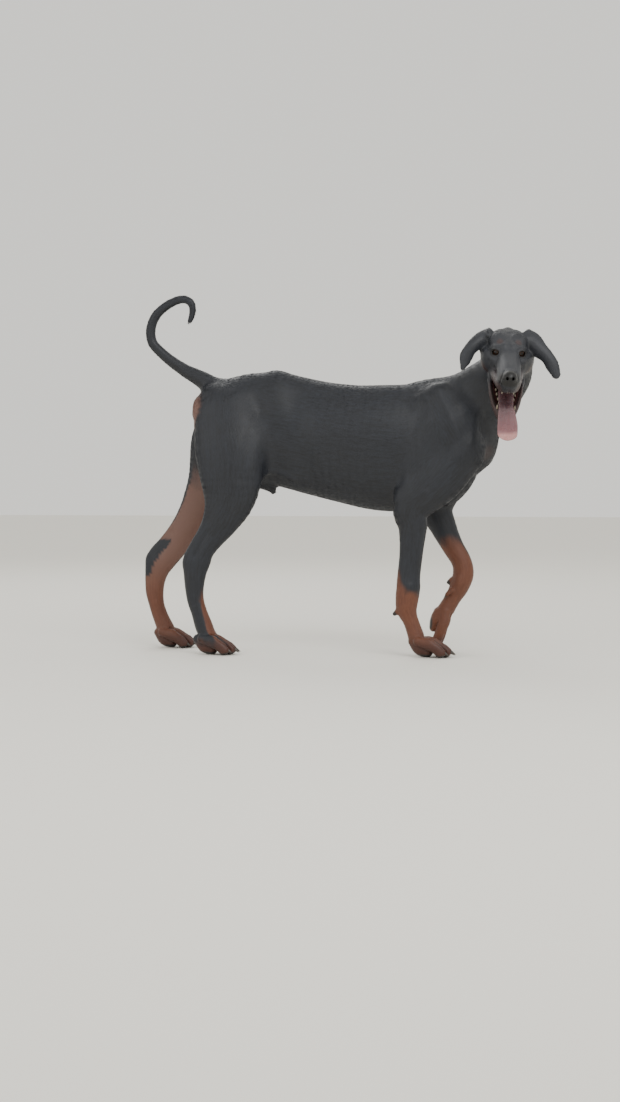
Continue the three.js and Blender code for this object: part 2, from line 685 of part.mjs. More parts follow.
const ears = { right: leaf('right', -1), left: leaf('left', 1) };
const tongue = chain(TONGUE, { steps: 1 });
const tongueLoft = (grow) => loft(tongue, 12, { grow, pose: HEAD_POSE });
const skullOf = (field) => wrap(field, HEAD_AXIS, 26, { pose: HEAD_POSE, dome: 3 });
let skull = skullOf(face);
const aroundSkull = skullOf((x, y, z) => face(x, y, z) - 1.5 * GAP);
const jaw = loft(chain(JAW, { steps: 2 }), 18, { pose: HEAD_POSE }).subtract(inHead(MOUTH_FLOOR, 12));
for (const [side, sign] of Object.entries(SIDES)) {
  skull = skull.subtract(eyeSlit(sign)).subtract(ball(sign, EYE_RADIUS + GAP));
  skull = skull.subtract(inHead(NOSTRIL(sign), 8));
  skull = skull.add(behind(ears[side], EAR_CUT[side]));
}
skull = ahead(skull.subtract(inHead(PALATE, 10)), MOUTH_CUT).add(behind(skull.add(jaw), JAW_CUT));
skull = skull.add(inHead(CANINE(-1), 6)).add(inHead(CANINE(1), 6));
add('head', ahead(skull.subtract(tongueLoft(GAP)), HEAD_CUT), BLACK);
add('lower_jaw', behind(ahead(jaw.subtract(tongueLoft(GAP)), JAW_CUT), MOUTH_CUT), BLACK);
add('tongue', tongueLoft(0), SKIN_PINK, 0.35);
for (const [side, sign] of Object.entries(SIDES)) {
  add(`eye_${side}`, ball(sign, EYE_RADIUS), EYE, 0.15);
  add(`ear_${side}`, ahead(ears[side], EAR_CUT[side]).subtract(aroundSkull), BLACK);
}

export default dog;
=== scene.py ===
"""A young black and tan Doberman pinscher, standing with its head turned towards the viewer.

Flesh is described by chains: lists of stations (x, y, z, half depth, half width) in millimetres
along a bone or a muscle, in the trunk's own frame or in the head's. The skin is the surface where
the field of all the chains is zero. Short hair is tufts laid over the skin along its lie.
"""

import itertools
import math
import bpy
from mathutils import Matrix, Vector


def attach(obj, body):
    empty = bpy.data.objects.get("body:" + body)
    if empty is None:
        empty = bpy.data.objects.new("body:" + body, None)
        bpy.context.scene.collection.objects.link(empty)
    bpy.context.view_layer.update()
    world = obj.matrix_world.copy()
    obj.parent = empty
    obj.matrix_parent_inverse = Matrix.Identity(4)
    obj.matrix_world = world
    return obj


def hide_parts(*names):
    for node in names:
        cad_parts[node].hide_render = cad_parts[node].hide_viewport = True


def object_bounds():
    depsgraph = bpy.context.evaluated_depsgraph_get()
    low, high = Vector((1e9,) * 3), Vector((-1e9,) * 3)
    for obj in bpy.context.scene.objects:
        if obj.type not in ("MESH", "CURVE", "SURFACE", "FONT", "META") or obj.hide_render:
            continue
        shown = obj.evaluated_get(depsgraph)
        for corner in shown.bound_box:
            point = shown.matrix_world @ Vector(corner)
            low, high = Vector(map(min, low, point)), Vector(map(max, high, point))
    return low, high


bl_info = {
    "name": "Doberman Pinscher",
    "version": (1, 0, 0),
    "blender": (4, 5, 0),
    "location": "View3D > Sidebar > Doberman",
    "description": "Dresses the standing dog with its skin, coat, eyes, mouth and claws",
    "category": "Object",
}

import bmesh
import bpy
import numpy as np
import openvdb
from mathutils import Matrix, Vector

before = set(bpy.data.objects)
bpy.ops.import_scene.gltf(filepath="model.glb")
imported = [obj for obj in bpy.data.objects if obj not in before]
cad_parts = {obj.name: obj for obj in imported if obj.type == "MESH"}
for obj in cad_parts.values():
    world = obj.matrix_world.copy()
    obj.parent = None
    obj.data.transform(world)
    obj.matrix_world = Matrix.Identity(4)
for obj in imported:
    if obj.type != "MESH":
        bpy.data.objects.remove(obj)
CAD_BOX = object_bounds()

MM = 0.001
PLACE = np.array((10.4, 101.7, 0.0))        # the trunk's frame, seen from the floor's, in mm
FAR = np.float32(1e3)
SIDES = {"right": -1, "left": 1}
BOTH = (-1, 1)
HEAD_POSE = (
    Matrix.Translation((381.5, -195, 706.5))
    @ Matrix.Rotation(math.radians(-85.5), 4, "Z")
    @ Matrix.Rotation(math.radians(24), 4, "Y")
    @ Matrix.Rotation(math.radians(-4), 4, "X")
)
THROAT = (377, -108, 690)                   # the head and the neck are parted by a plane through this point
HEADWARDS = (0.30, -0.93, 0.2)              # and across this line
HOCK_STOP = -517.0                          # behind this the left hock is blunted, to end in the model's box
HOCK_GIVE = 2.6

# Stations of the trunk and the neck
TRUNK = [
    (-318, 0, 590, 69, 50), (-262, 0, 565, 113, 62), (-207, 0, 542, 139, 68),
    (-146, 0, 530, 135, 72), (-74, 0, 513, 137, 82), (0, 0, 499.5, 142.5, 92),
    (71, 0, 491, 150, 96), (143, 0, 491, 151.5, 93), (214, 0, 502, 149, 82),
    (258, 0, 502, 113, 68), (288, 0, 488, 74, 53),
]
NECK = [
    (228, 0, 550, 97, 66), (290, -8, 594, 82, 60), (338, -32, 631, 72, 55),
    (370, -66, 662, 62, 52), (382, -104, 692, 52, 48),
]
SHEATH = [(-236, 0, 414, 15, 14), (-206, 0, 402, 13, 12), (-189, 0, 390, 9, 8), (-187, 0, 380, 4.5, 4)]
SHOULDER = {
    "right": [(196, -50, 606, 50, 22), (240, -62, 545, 66, 30), (278, -63, 478, 48, 33)],
    "left": [(196, 50, 606, 50, 22), (248, 62, 545, 66, 30), (288, 62, 478, 48, 33)],
}
UPPER_ARM = {
    "right": [(276, -62, 474, 46, 33), (222, -72, 412, 50, 34)],
    "left": [(283, 62, 476, 45, 33), (236, 66, 414, 42, 32)],
}
TRICEPS = {
    "right": [(206, -56, 540, 56, 24), (182, -68, 448, 54, 29), (162, -75, 376, 42, 29)],
    "left": [(214, 56, 540, 56, 24), (206, 62, 448, 50, 28), (194, 62, 380, 40, 28)],
}
FOREARM = {
    "right": [
        (154, -77, 352, 43, 31), (156, -78, 308, 35, 27), (154, -79, 265, 30, 23),
        (151, -79, 228, 28, 21), (147, -80, 190, 28, 21), (146, -80, 163, 29, 23),
        (143, -80, 137, 28, 23), (142, -80, 112, 25, 20), (149, -80, 92, 20, 18),
        (156, -80, 74, 19, 18), (164, -80, 50.5, 20, 20),
    ],
    "left": [
        (201, 62, 352, 41, 30), (217, 58, 304, 33, 26), (240, 55, 257, 27, 22),
        (262, 52, 219, 25, 21), (267, 50, 188, 26, 22), (257, 48, 157, 24, 22),
        (243, 46, 131, 20, 18), (228, 45, 106, 21, 20), (216, 44, 84, 22, 22),
    ],
}
HIND_LEG = {
    "right": [
        (-298, -32, 590, 66, 40), (-287, -56, 510, 83, 42), (-278, -68, 440, 79, 40),
        (-280, -76, 372, 63, 33), (-300, -80, 320, 46, 26), (-322, -82, 285, 36, 21),
        (-345, -83, 252, 32, 19), (-358, -83, 222, 34, 19), (-363, -83, 190, 28, 18),
        (-364, -83, 153, 23, 17), (-361, -83, 127, 21, 17), (-352, -84, 99, 20, 18),
        (-341, -84, 66.5, 22, 21), (-332, -84, 46.5, 20, 22),
    ],
    "left": [
        (-298, 32, 590, 66, 40), (-314, 54, 510, 84, 42), (-330, 64, 440, 78, 40),
        (-362, 68, 378, 58, 33), (-397, 71, 322, 43, 27), (-427, 73, 281, 37, 22),
        (-454, 74, 246, 37, 19), (-482, 75, 214, 37, 19), (-494, 75, 180, 29.5, 18),
        (-497, 75, 145, 24.5, 17), (-492, 75, 108, 20, 17), (-482, 75, 76.5, 20, 18),
        (-470, 75, 48.5, 22, 22),
    ],
}
VENT = (-366, 0, 612)
BUTTOCK = {
    "right": [
        (-330, -30, 618, 22, 18), (-342, -38, 588, 24, 20),
        (-343, -44, 556, 24, 20), (-332, -52, 518, 26, 20),
    ],
    "left": [
        (-330, 30, 618, 22, 18), (-342, 36, 588, 24, 20),
        (-345, 42, 556, 24, 20), (-346, 52, 518, 26, 20),
    ],
}
TAIL = [
    (-324, 0, 629, 29, 26), (-360, 0, 655, 21.5, 20.5), (-401, 0, 677, 16.5, 16),
    (-438, 0, 702, 14, 14), (-466, 0, 726, 13, 13), (-482, 0, 745, 12.5, 12.5),
    (-487, 0, 768, 12.5, 12.5), (-483, 0, 792, 12.3, 12.3), (-471, 0, 814, 12, 12),
    (-453, 0, 830, 11.5, 11.5), (-431, 0, 843, 11, 11), (-409, 0, 849, 10.5, 10.5),
    (-394, 0, 845, 10, 10), (-385, 0, 834, 9.5, 9.5), (-384, 0, 818, 8.8, 8.8),
    (-388, 0, 802, 7.5, 7.5), (-394, 0, 792, 5, 5),
]

# Paws that stand flat: +X to the toes, the pastern comes down at x = 0
TOES = (-1.5, -0.5, 0.5, 1.5)
TOE_GAPS = (-1, 0, 1)
SOLE_SINK = 1.5
OUTER_REACH = 0.84                          # how far the outer toes reach, beside the middle ones
OUTER_LIFT = 8                              # how much higher they hang on the bent paw
BENT_Y = 44                                 # the middle of the bent paw
FLAT_PAWS = {
    "fore_foot_right": ((163, -80), 1.0),
    "hind_foot_right": ((-350, -84), 1.02),
    "hind_foot_left": ((-481, 75), 1.0),
}
PAD = [(-6, 0, 38, 12, 12), (10, 0, 22, 17, 19), (27, 0, 15, 15.5, 19)]
BENT_PAD = [(206, BENT_Y, 98, 10, 14), (200, BENT_Y, 78, 13, 19), (197, BENT_Y, 60, 12, 17)]
CARPAL_PAD = {
    "right": [(124, -80, 109, 8, 9), (114, -80, 101, 6, 7)],
    "left": [(240, 50, 174, 8, 9), (232, 50, 168, 6, 7)],
}
CARPAL_TIP = {"right": (114, -80, 95, 6, 7), "left": (227, 50, 163, 6, 7)}
DEWCLAW = {
    "right": [(139, -63, 121, 6, 5), (145, -59, 110, 3.4, 3), (152, -58, 100, 1.6, 1.4)],
    "left": [(240, 29, 151, 6, 5), (229, 25, 140, 3.4, 3), (221, 24, 130, 1.6, 1.4)],
}

# The head, in its own frame: midway between the eyes, +X to the nose, +Y to the dog's left
SKULL = [(-78, 0, -14, 38, 37), (-48, 0, -10, 39, 44), (-18, 0, -12, 36, 40)]
MUZZLE = [
    (2, 0, -20, 30, 33), (40, 0, -22, 27, 29), (80, 0, -25, 25, 27),
    (104, 0, -28, 22, 25), (114, 0, -30, 20, 22),
]
JAW = [
    (-52, 0, -46, 30, 44), (-4, 0, -74, 24, 41), (42, 0, -100, 16, 35),
    (76, 0, -118, 13, 26), (88, 0, -124, 10, 20),
]
NOSE = [(106, 0, -16, 12, 15), (118, 0, -16, 13, 16.5), (125, 0, -18, 11, 15)]
CHIN = [(70, 0, -112, 12, 24), (90, 0, -122, 11, 19)]
MOUTH_FLOOR = [(8, 0, -62, 15, 29), (44, 0, -84, 13, 25), (76, 0, -107, 8, 16)]
PALATE = [(24, 0, -60, 9, 14), (60, 0, -60, 8, 14), (94, 0, -58, 6, 10)]
TONGUE = [
    (-8, 0, -66, 5, 17), (30, 0, -81, 5, 17), (64, 0, -97, 5, 17), (87, 0, -103, 4.5, 16.5),
    (98, 3, -118, 4.5, 20), (108, 6, -138, 4.3, 22.5), (115, 7, -155, 4, 22), (120, 7, -168, 3.6, 19),
]
BALL_RADIUS = 10.3
CORNEA_RADIUS = 7.0
CORNEA_AHEAD = 3.7                          # how far the cornea's middle lies before the ball's
EYE_RINGS = 40
EYE_SPOKES = 48
EYE_SLIT = (5.6, 9.6)                       # half height and half width between the lids
TONGUE_TIP = 0.86                           # the share of the tongue's length where its end begins to round
TONGUE_SPOKES = 44
HEAD_REACH = ((-110, 150), (-75, 75), (-185, 70))    # the box of the head along its own axes
CHEEK_TEETH = 4
TOOTH_STEP = 12

EAR = {
    "right": [
        (344, -158, 745, 23), (323, -165, 738, 20), (305, -171, 725, 17), (293, -174, 712, 15.5),
        (285, -175, 698, 16), (281, -175, 684, 13), (277, -174, 672, 7),
    ],
    "left": [
        (410, -158, 742, 24), (429, -165, 729, 26), (449, -171, 711, 20), (467, -174, 694, 16),
        (479, -175, 674, 16), (487, -175, 655, 11.5),
    ],
}


def ear_base(s):
    return [(-60, 51 * s, -12, 15, 16), (-63, 42 * s, 2, 16, 13), (-56, 47 * s, 13, 12, 9)]


def ear_fold(s):
    return [(-68, 44 * s, 17, 6, 6), (-56, 48 * s, 24.5, 5, 4.5), (-42, 47 * s, 18, 6, 5)]


def socket(s):
    return [(-14, 20 * s, -6, 14, 14), (-3, 24 * s, -4, 13.5, 13.5)]


def temple(s):
    return [(-66, 20 * s, 0, 24, 20), (-34, 24 * s, 6, 23, 21)]


def cheek(s):
    return [(-52, 36 * s, -34, 32, 24.5), (-22, 42 * s, -34, 26, 16.5), (6, 30 * s, -32, 18, 12)]


def lip(s):
    return [
        (0, 32 * s, -52, 15, 8), (52, 24 * s, -50, 14, 8),
        (94, 16 * s, -48, 13, 9), (112, 7 * s, -43, 14, 10),
    ]


def lower_lip(s):
    return [
        (4, 38 * s, -70, 9, 4), (42, 33 * s, -92, 8, 4.5),
        (72, 25 * s, -108, 7, 5), (90, 12 * s, -116, 6, 6),
    ]


def mouth_corner(s):
    return [(2, 36 * s, -58, 7, 4), (6, 36 * s, -66, 6, 3.5), (5, 36 * s, -74, 7, 4)]


def tooth_places():
    """Root, tip, width and thickness of each tooth, in the trunk's frame."""
    rows = []
    for s in BOTH:
        rows += [
            ((96, 12.5 * s, -54), (97, 13 * s, -66.5), 5.5, 6.5),
            ((81, 19 * s, -108), (86, 20 * s, -96), 5, 6),
            ((108, 2.4 * s, -52), (109, 2.4 * s, -59), 4.4, 3.6),
            ((106, 7 * s, -52), (107, 7 * s, -59.5), 4.4, 3.6),
        ]
        for n in range(CHEEK_TEETH):
            x, y = 79 - TOOTH_STEP * n, (15.5 + 1.6 * n) * s
            rows.append(((x, y, -52), (x - 1, y, -58 - 0.5 * n), 4, 10))
            x, y, z = 64 - TOOTH_STEP * n, (15.5 + 2.4 * n) * s, -103 + 6.2 * n
            rows.append(((x, y, z), (x + 2, y, z + 5.5), 4, 10))
    return [
        (HEAD_POSE @ Vector(root), HEAD_POSE @ Vector(tip), width, thickness)
        for root, tip, width, thickness in rows
    ]


def nostril(s):
    return [(120, 6.2 * s, -16, 3.2, 2.6), (146, 7 * s, -15.5, 3.8, 3.2)]


def nostril_wing(s):
    return [(142, 8 * s, -16, 2.4, 2.6), (133, 13 * s, -18, 1.9, 2.6), (124, 18.5 * s, -22, 1.3, 2.2)]


def eye_at(s):
    return Vector((-1, 24.5 * s, -3.5))


def gaze(s):
    return Vector((0.84, 0.52 * s, 0.14)).normalized()


def paw_pose(place, length):
    """The frame of a paw that stands flat."""
    return Matrix.Translation((*place, -SOLE_SINK)) @ Matrix.Diagonal((length, 1, 1, 1))


def toe_reach(n):
    return OUTER_REACH if abs(n) > 1 else 1.0


def toe_lift(n):
    return OUTER_LIFT if abs(n) > 1 else 0


def toe(n):
    reach = toe_reach(n)
    return [
        (6, 11 * n, 40, 12, 11), (38 * reach, 15 * n, 33, 14, 10.5),
        (58 * reach, 16.5 * n, 25, 14, 10.5), (74 * reach, 17 * n, 12.2, 13, 10),
    ]


def claw(n):
    """Root and tip of a flat paw's claw, in the paw's frame."""
    x = 84 * toe_reach(n)
    return (x - 8, 17 * n, 17), (x + 10, 17.6 * n, 7)


def bent_toe(n):
    lift = toe_lift(n)
    return [
        (226, BENT_Y + 1 + 9 * n, 100, 12, 10), (221, BENT_Y + 12.5 * n, 72, 13, 10),
        (214, BENT_Y + 14 * n, 43 + lift, 13, 10), (205, BENT_Y + 13.5 * n, 21 + lift, 12.5, 9.5),
        (200.5, BENT_Y + 13 * n, 6.5 + lift, 10, 8.5),
    ]


def bent_claw(n):
    """Root and tip of the bent paw's claw, in the trunk's frame."""
    y = BENT_Y + 13 * n
    lift = toe_lift(n)
    return (203, y, 14 + lift), (216, y, 4.5 + lift)


# Chains and their field
def resample(stations, steps):
    """Points of a uniform Catmull-Rom curve through the stations."""
    p = np.asarray(stations, float)
    p = np.vstack([2 * p[0] - p[1], p, 2 * p[-1] - p[-2]])
    links = []
    for i in range(1, len(p) - 2):
        leave = (p[i + 1] - p[i - 1]) / 2
        arrive = (p[i + 2] - p[i]) / 2
        for k in range(steps):
            t = k / steps
            links.append(
                (2 * t**3 - 3 * t**2 + 1) * p[i] + (t**3 - 2 * t**2 + t) * leave
                + (3 * t**2 - 2 * t**3) * p[i + 1] + (t**3 - t**2) * arrive
            )
    links.append(p[-2])
    return np.array(links)


CHAIN_MARGIN = 7                            # how far beyond its flesh and its blend a chain is felt


def chain(stations, blend=14, side=(0, 1, 0), steps=4, pose=None, lie=1):
    """The links of a chain. The coat's lie runs along it, or against it where lie is -1."""
    links = resample(stations, steps)
    centres = links[:, :3]
    side = np.array(side, float)
    if pose is not None:
        turn = np.array(pose.to_3x3())
        centres = centres @ turn.T + np.array(pose.translation)
        side = turn @ side
    run = np.diff(centres, axis=0)
    length = np.linalg.norm(run, axis=1)
    along = run / length[:, None]
    wide = side - (along @ side)[:, None] * along
    wide /= np.linalg.norm(wide, axis=1)[:, None]
    radius = links[:, 3:5].max(axis=1) + blend + CHAIN_MARGIN
    lows = np.minimum(centres[:-1] - radius[:-1, None], centres[1:] - radius[1:, None])
    highs = np.maximum(centres[:-1] + radius[:-1, None], centres[1:] + radius[1:, None])
    return {
        "start": centres[:-1].astype(np.float32), "along": along.astype(np.float32),
        "wide": wide.astype(np.float32), "deep": np.cross(along, wide).astype(np.float32),
        "length": length, "sizes": links[:, 3:5], "blend": blend, "lie": lie,
        "from": np.concatenate([[0], np.cumsum(length)]),
        "lows": lows, "highs": highs, "low": lows.min(0), "high": highs.max(0),
    }


def rows_in(points, low, high):
    """The rows of the points inside a box."""
    inside = np.all((points > low.astype(np.float32)) & (points < high.astype(np.float32)), axis=1)
    return np.nonzero(inside)[0]


def segment_terms(c, s, points):
    """Distance to one segment of a chain, with the place on it."""
    q = points - c["start"][s]
    run = q @ c["along"][s]
    t = np.clip(run / np.float32(c["length"][s]), 0, 1)
    over = run - t * np.float32(c["length"][s])
    wide = q @ c["wide"][s]
    deep = q @ c["deep"][s]
    first, final = c["sizes"][s].astype(np.float32), c["sizes"][s + 1].astype(np.float32)
    half_deep = first[0] + (final[0] - first[0]) * t
    half_wide = first[1] + (final[1] - first[1]) * t
    cap = np.minimum(half_deep, half_wide)
    k0 = np.sqrt((over / cap) ** 2 + (wide / half_wide) ** 2 + (deep / half_deep) ** 2)
    k1 = np.sqrt((over / cap**2) ** 2 + (wide / half_wide**2) ** 2 + (deep / half_deep**2) ** 2)
    away = np.maximum(k0 * (k0 - 1) / np.maximum(k1, np.float32(1e-6)), -cap)
    return away, run, wide, deep


def chain_distance(c, points):
    """Distance to a whole chain, negative inside it."""
    found = np.full(len(points), FAR, np.float32)
    rows = rows_in(points, c["low"], c["high"])
    if not len(rows):
        return found
    near = points[rows]
    best = np.full(len(rows), FAR, np.float32)
    for s in range(len(c["length"])):
        pick = rows_in(near, c["lows"][s], c["highs"][s])
        if len(pick):
            best[pick] = np.minimum(best[pick], segment_terms(c, s, near[pick])[0])
    found[rows] = best
    return found


def smooth_join(a, b, blend):
    """Both shapes in one, with a soft joint."""
    h = np.maximum(blend - np.abs(a - b), 0)
    return np.minimum(a, b) - h * h / (4 * blend)


def smooth_carve(a, b, blend):
    """The first shape less the second, with a soft edge."""
    h = np.maximum(blend - np.abs(a + b), 0)
    return np.maximum(a, -b) + h * h / (4 * blend)


def melt(chains, points, d=None):
    """The field with flesh added to it."""
    if d is None:
        d = np.full(len(points), FAR, np.float32)
    for c in chains:
        rows = rows_in(points, c["low"], c["high"])
        if len(rows):
            d[rows] = smooth_join(d[rows], chain_distance(c, points[rows]), c["blend"])
    return d


def carved(hollows, points, d):
    """The field with hollows cut into it."""
    for hollow in hollows:
        d = smooth_carve(d, chain_distance(hollow, points), hollow["blend"])
    return d


def body_chains():
    made = [
        chain(TRUNK, 30, steps=5, lie=-1),
        chain(NECK, 36, steps=5, lie=-1),
        chain(SHEATH, 14, lie=-1),
        chain(TAIL, 16, steps=3),
    ]
    for side in SIDES:
        made.append(chain(SHOULDER[side], 22))
        made.append(chain(TRICEPS[side], 20))
        made.append(chain(UPPER_ARM[side] + FOREARM[side], 20))
        made.append(chain(HIND_LEG[side], 34))
        made.append(chain(BUTTOCK[side], 20))
    return made


def foot_chains():
    made = []
    for place, length in FLAT_PAWS.values():
        pose = paw_pose(place, length)
        made += [chain(toe(n), 4, pose=pose) for n in TOES]
        made.append(chain(PAD, 4, pose=pose))
    made += [chain(bent_toe(n), 4) for n in TOES]
    made.append(chain(BENT_PAD, 7))
    for side in SIDES:
        made.append(chain(CARPAL_PAD[side], 5))
        knuckle = [(x, y, z, deep + 2, wide + 2) for x, y, z, deep, wide in DEWCLAW[side][:2]]
        made.append(chain(knuckle, 4))
    return made


def head_chain(stations, blend, **more):
    return chain(stations, blend, pose=HEAD_POSE, lie=-1, **{"steps": 7, **more})


def face_chains():
    made = [head_chain(SKULL, 16), head_chain(MUZZLE, 16), head_chain(NOSE, 5)]
    for s in BOTH:
        made += [
            head_chain(temple(s), 14), head_chain(ear_base(s), 12), head_chain(ear_fold(s), 7),
            head_chain(socket(s), 7), head_chain(cheek(s), 14), head_chain(lip(s), 8),
        ]
    return made


# Soft ridges and furrows along lines on the skin: (points, radius, height)
LINE_REACH = 2.4                            # how many of its radii away a line is felt


def posed(lines, pose):
    """Lines of a frame of their own, in the trunk's."""
    return [([tuple(pose @ Vector(p)) for p in points], radius, height) for points, radius, height in lines]


def head_lines():
    made = [
        ([(-40, 0, 26), (-20, 0, 24), (0, 0, 12), (14, 0, 6)], 7, -1.7),
        ([(136, 0, -16), (134, 0, -26), (126, 0, -40), (118, 0, -54)], 2.4, -1.7),
        ([(-96, 0, 12), (-84, 0, 22)], 10, 3.5),
    ]
    for s in BOTH:
        made += [
            ([(2, 9 * s, 10), (3, 20 * s, 11), (-5, 31 * s, 6), (-16, 37 * s, -3)], 7, 3.2),
            ([(12, 32 * s, -18), (-14, 43 * s, -20), (-48, 48 * s, -18)], 8, 2.6),
            ([(14, 24 * s, -8), (30, 22 * s, -16), (44, 22 * s, -20)], 8, -2.2),
            ([(16, 13 * s, 4), (60, 11 * s, 0), (104, 9 * s, -4)], 6, 1.1),
            ([(30, 27 * s, -34), (66, 25 * s, -34), (96, 22 * s, -34)], 6, -1.0),
            ([(56, 25 * s, -46), (80, 23 * s, -45), (100, 19 * s, -44)], 9, 1.8),
            ([(9, 15 * s, -6), (15, 12 * s, -11)], 2.6, -1.6),
            ([(-26, 44 * s, 4), (-44, 48 * s, -2)], 10, -2.0),
            ([(104, 14 * s, -8), (114, 17 * s, -14), (117, 18 * s, -24), (116, 14 * s, -32)], 2.4, -1.7),
            ([(-8, 12 * s, -2), (-14, 10 * s, 8)], 5, -1.2),
            ([(4, 33 * s, 4), (-8, 40 * s, 0)], 5, 1.6),
            ([(86, 24 * s, -38), (98, 20 * s, -34)], 8, 1.6),
        ]
    return posed(made, HEAD_POSE)


RIBS = 9


def trunk_lines():
    made = [
        ([(296, 0, 520), (312, 0, 500), (306, 0, 478)], 18, 5),
        ([(-373, 0, 596), (-374, 0, 570), (-366, 0, 540), (-345, 0, 500), (-322, 0, 470)], 9, -5),
        ([(VENT[0], -2, VENT[2]), (VENT[0], 2, VENT[2])], 9, 4.5),
        ([(VENT[0] - 3, -1, VENT[2]), (VENT[0] - 3, 1, VENT[2])], 3.4, -5),
    ]
    for s in BOTH:
        for n in range(RIBS):
            x = 112 - 22 * n
            rib = [(x + 4, 62 * s, 594), (x - 10, 92 * s, 520), (x - 16, 86 * s, 438), (x - 2, 66 * s, 392)]
            made.append((rib, 6.5, 0.25 + 0.05 * n))
        made += [
            ([(-118, 66 * s, 590), (-116, 82 * s, 520), (-104, 76 * s, 440)], 30, -6),
            ([(202, 60 * s, 640), (238, 84 * s, 570), (262, 92 * s, 520)], 8, 2.4),
            ([(184, 76 * s, 590), (150, 92 * s, 500), (122, 96 * s, 420)], 11, -3.6),
            ([(252, 96 * s, 500), (222, 104 * s, 440), (196, 106 * s, 396)], 8, -2.4),
            ([(290, 70 * s, 500), (268, 96 * s, 470)], 16, 3.5),
            ([(-166, 50 * s, 640), (-174, 62 * s, 616)], 24, 1.2),
            ([(-366, 34 * s, 600), (-372, 40 * s, 578)], 15, 4.5),
            ([(-205, 76 * s, 590), (-232, 98 * s, 500), (-248, 104 * s, 420)], 13, -2.6),
            ([(-352, 60 * s, 560), (-350, 92 * s, 470), (-338, 98 * s, 400)], 14, 2.4),
            ([(-214, 76 * s, 410), (-176, 78 * s, 420), (-138, 66 * s, 404)], 10, 3.6),
            ([(-100, 40 * s, 650), (0, 42 * s, 640), (120, 42 * s, 632)], 16, 2.0),
        ]
    made += [
        ([(286, -72, 500), (312, -84, 570), (346, -100, 640)], 12, 3.4),
        ([(306, -58, 520), (338, -72, 580), (368, -100, 626)], 9, -3.2),
        ([(128, -84, 384), (124, -84, 370)], 12, 6),
        ([(168, 70, 384), (166, 70, 372)], 12, 6),
        ([(-222, -84, 392), (-226, -86, 372)], 14, 4),
        ([(-300, 76, 400), (-304, 78, 380)], 14, 4),
    ]
    for x, y, drop in ((-352, -83, 0), (-476, 74, -4)):
        for s in BOTH:
            tendon = [
                (x + 22, y + 20 * s, 290 + drop),
                (x + 4, y + 19 * s, 258 + drop),
                (x - 6, y + 19 * s, 236 + drop),
            ]
            made.append((tendon, 8, -4.5))
    for x, y in ((-366, -83), (-495, 75)):
        for s in BOTH:
            made.append(([(x + 2, y + 17 * s, 176), (x + 3, y + 17 * s, 120)], 5, -1.6))
        made.append(([(x - 26, y, 222), (x - 26, y, 214)], 12, 1.5))
    for s in BOTH:
        made += [
            ([(146, -80 + 22 * s, 250), (142, -80 + 22 * s, 190)], 6, -1.6),
            ([(150, -80 + 22 * s, 166), (150, -80 + 22 * s, 160)], 9, 2.6),
            ([(256, 49 + 22 * s, 180), (256, 49 + 22 * s, 172)], 9, 2.6),
        ]
    return made


def paw_lines():
    """Furrows between the toes, and their knuckles."""
    made = []
    for place, length in FLAT_PAWS.values():
        drawn = []
        for n in TOE_GAPS:
            reach = 0.9 if n else 1.0
            furrow = [(26, 13.5 * n, 48), (54 * reach, 16 * n, 40), (80 * reach, 17 * n, 14)]
            drawn.append((furrow, 3.6, -4.2))
        for n in TOES:
            reach = toe_reach(n)
            drawn.append(([(37 * reach, 15 * n, 50), (43 * reach, 15.5 * n, 48)], 7, 2.6))
            drawn.append(([(62 * reach, 16.5 * n, 40), (68 * reach, 16.8 * n, 36)], 6, -1.6))
        made += posed(drawn, paw_pose(place, length))
    for n in TOE_GAPS:
        furrow = [(236, BENT_Y + 1 + 9 * n, 92), (232, BENT_Y + 13 * n, 66), (222, BENT_Y + 14 * n, 34)]
        made.append((furrow, 3.4, -3.6))
        made.append(([(196, BENT_Y + 13 * n, 40), (192, BENT_Y + 13 * n, 14)], 3.4, -3.2))
    for n in TOES:
        made.append(([(233, BENT_Y + 12.5 * n, 76), (232, BENT_Y + 13 * n, 68)], 7, 2.4))
    return made


def line_bump(line, points):
    """How far a soft line raises the skin at each point."""
    links, radius, height = line
    nearest = np.full(len(points), FAR**2, np.float32)
    for a, b in zip(links[:-1], links[1:]):
        ab = b - a
        q = points - a
        t = np.clip((q @ ab) / (ab @ ab), 0, 1)
        nearest = np.minimum(nearest, ((q - t[:, None] * ab) ** 2).sum(1))
    return np.float32(height) * np.exp(-nearest / np.float32(radius**2))


# How deep an ear is cupped and how thick it is: at its tip, and by how much more at its root
EAR_CUP = (0.34, 0.4)
EAR_THICKNESS = (2.7, 1.3)
EAR_BLEND = 8


def ear_leaf(stations, sign):
    """Places along an ear, each with the way along it, across it and out of it."""
    links = resample([(x, y, z, half, half) for x, y, z, half in stations], 4)
    at = links[:, :3]
    along = np.gradient(at, axis=0)
    along /= np.linalg.norm(along, axis=1)[:, None]
    spread = np.array((0.6 * sign, 0, 0.8))
    wide = spread - (along @ spread)[:, None] * along
    wide /= np.linalg.norm(wide, axis=1)[:, None]
    reach = links[:, 3].max() + 14
    return {
        "at": at.astype(np.float32), "along": along.astype(np.float32), "wide": wide.astype(np.float32),
        "deep": np.cross(along, wide).astype(np.float32), "half": links[:, 3].astype(np.float32),
        "low": at.min(0) - reach, "high": at.max(0) + reach, "sign": sign,
    }


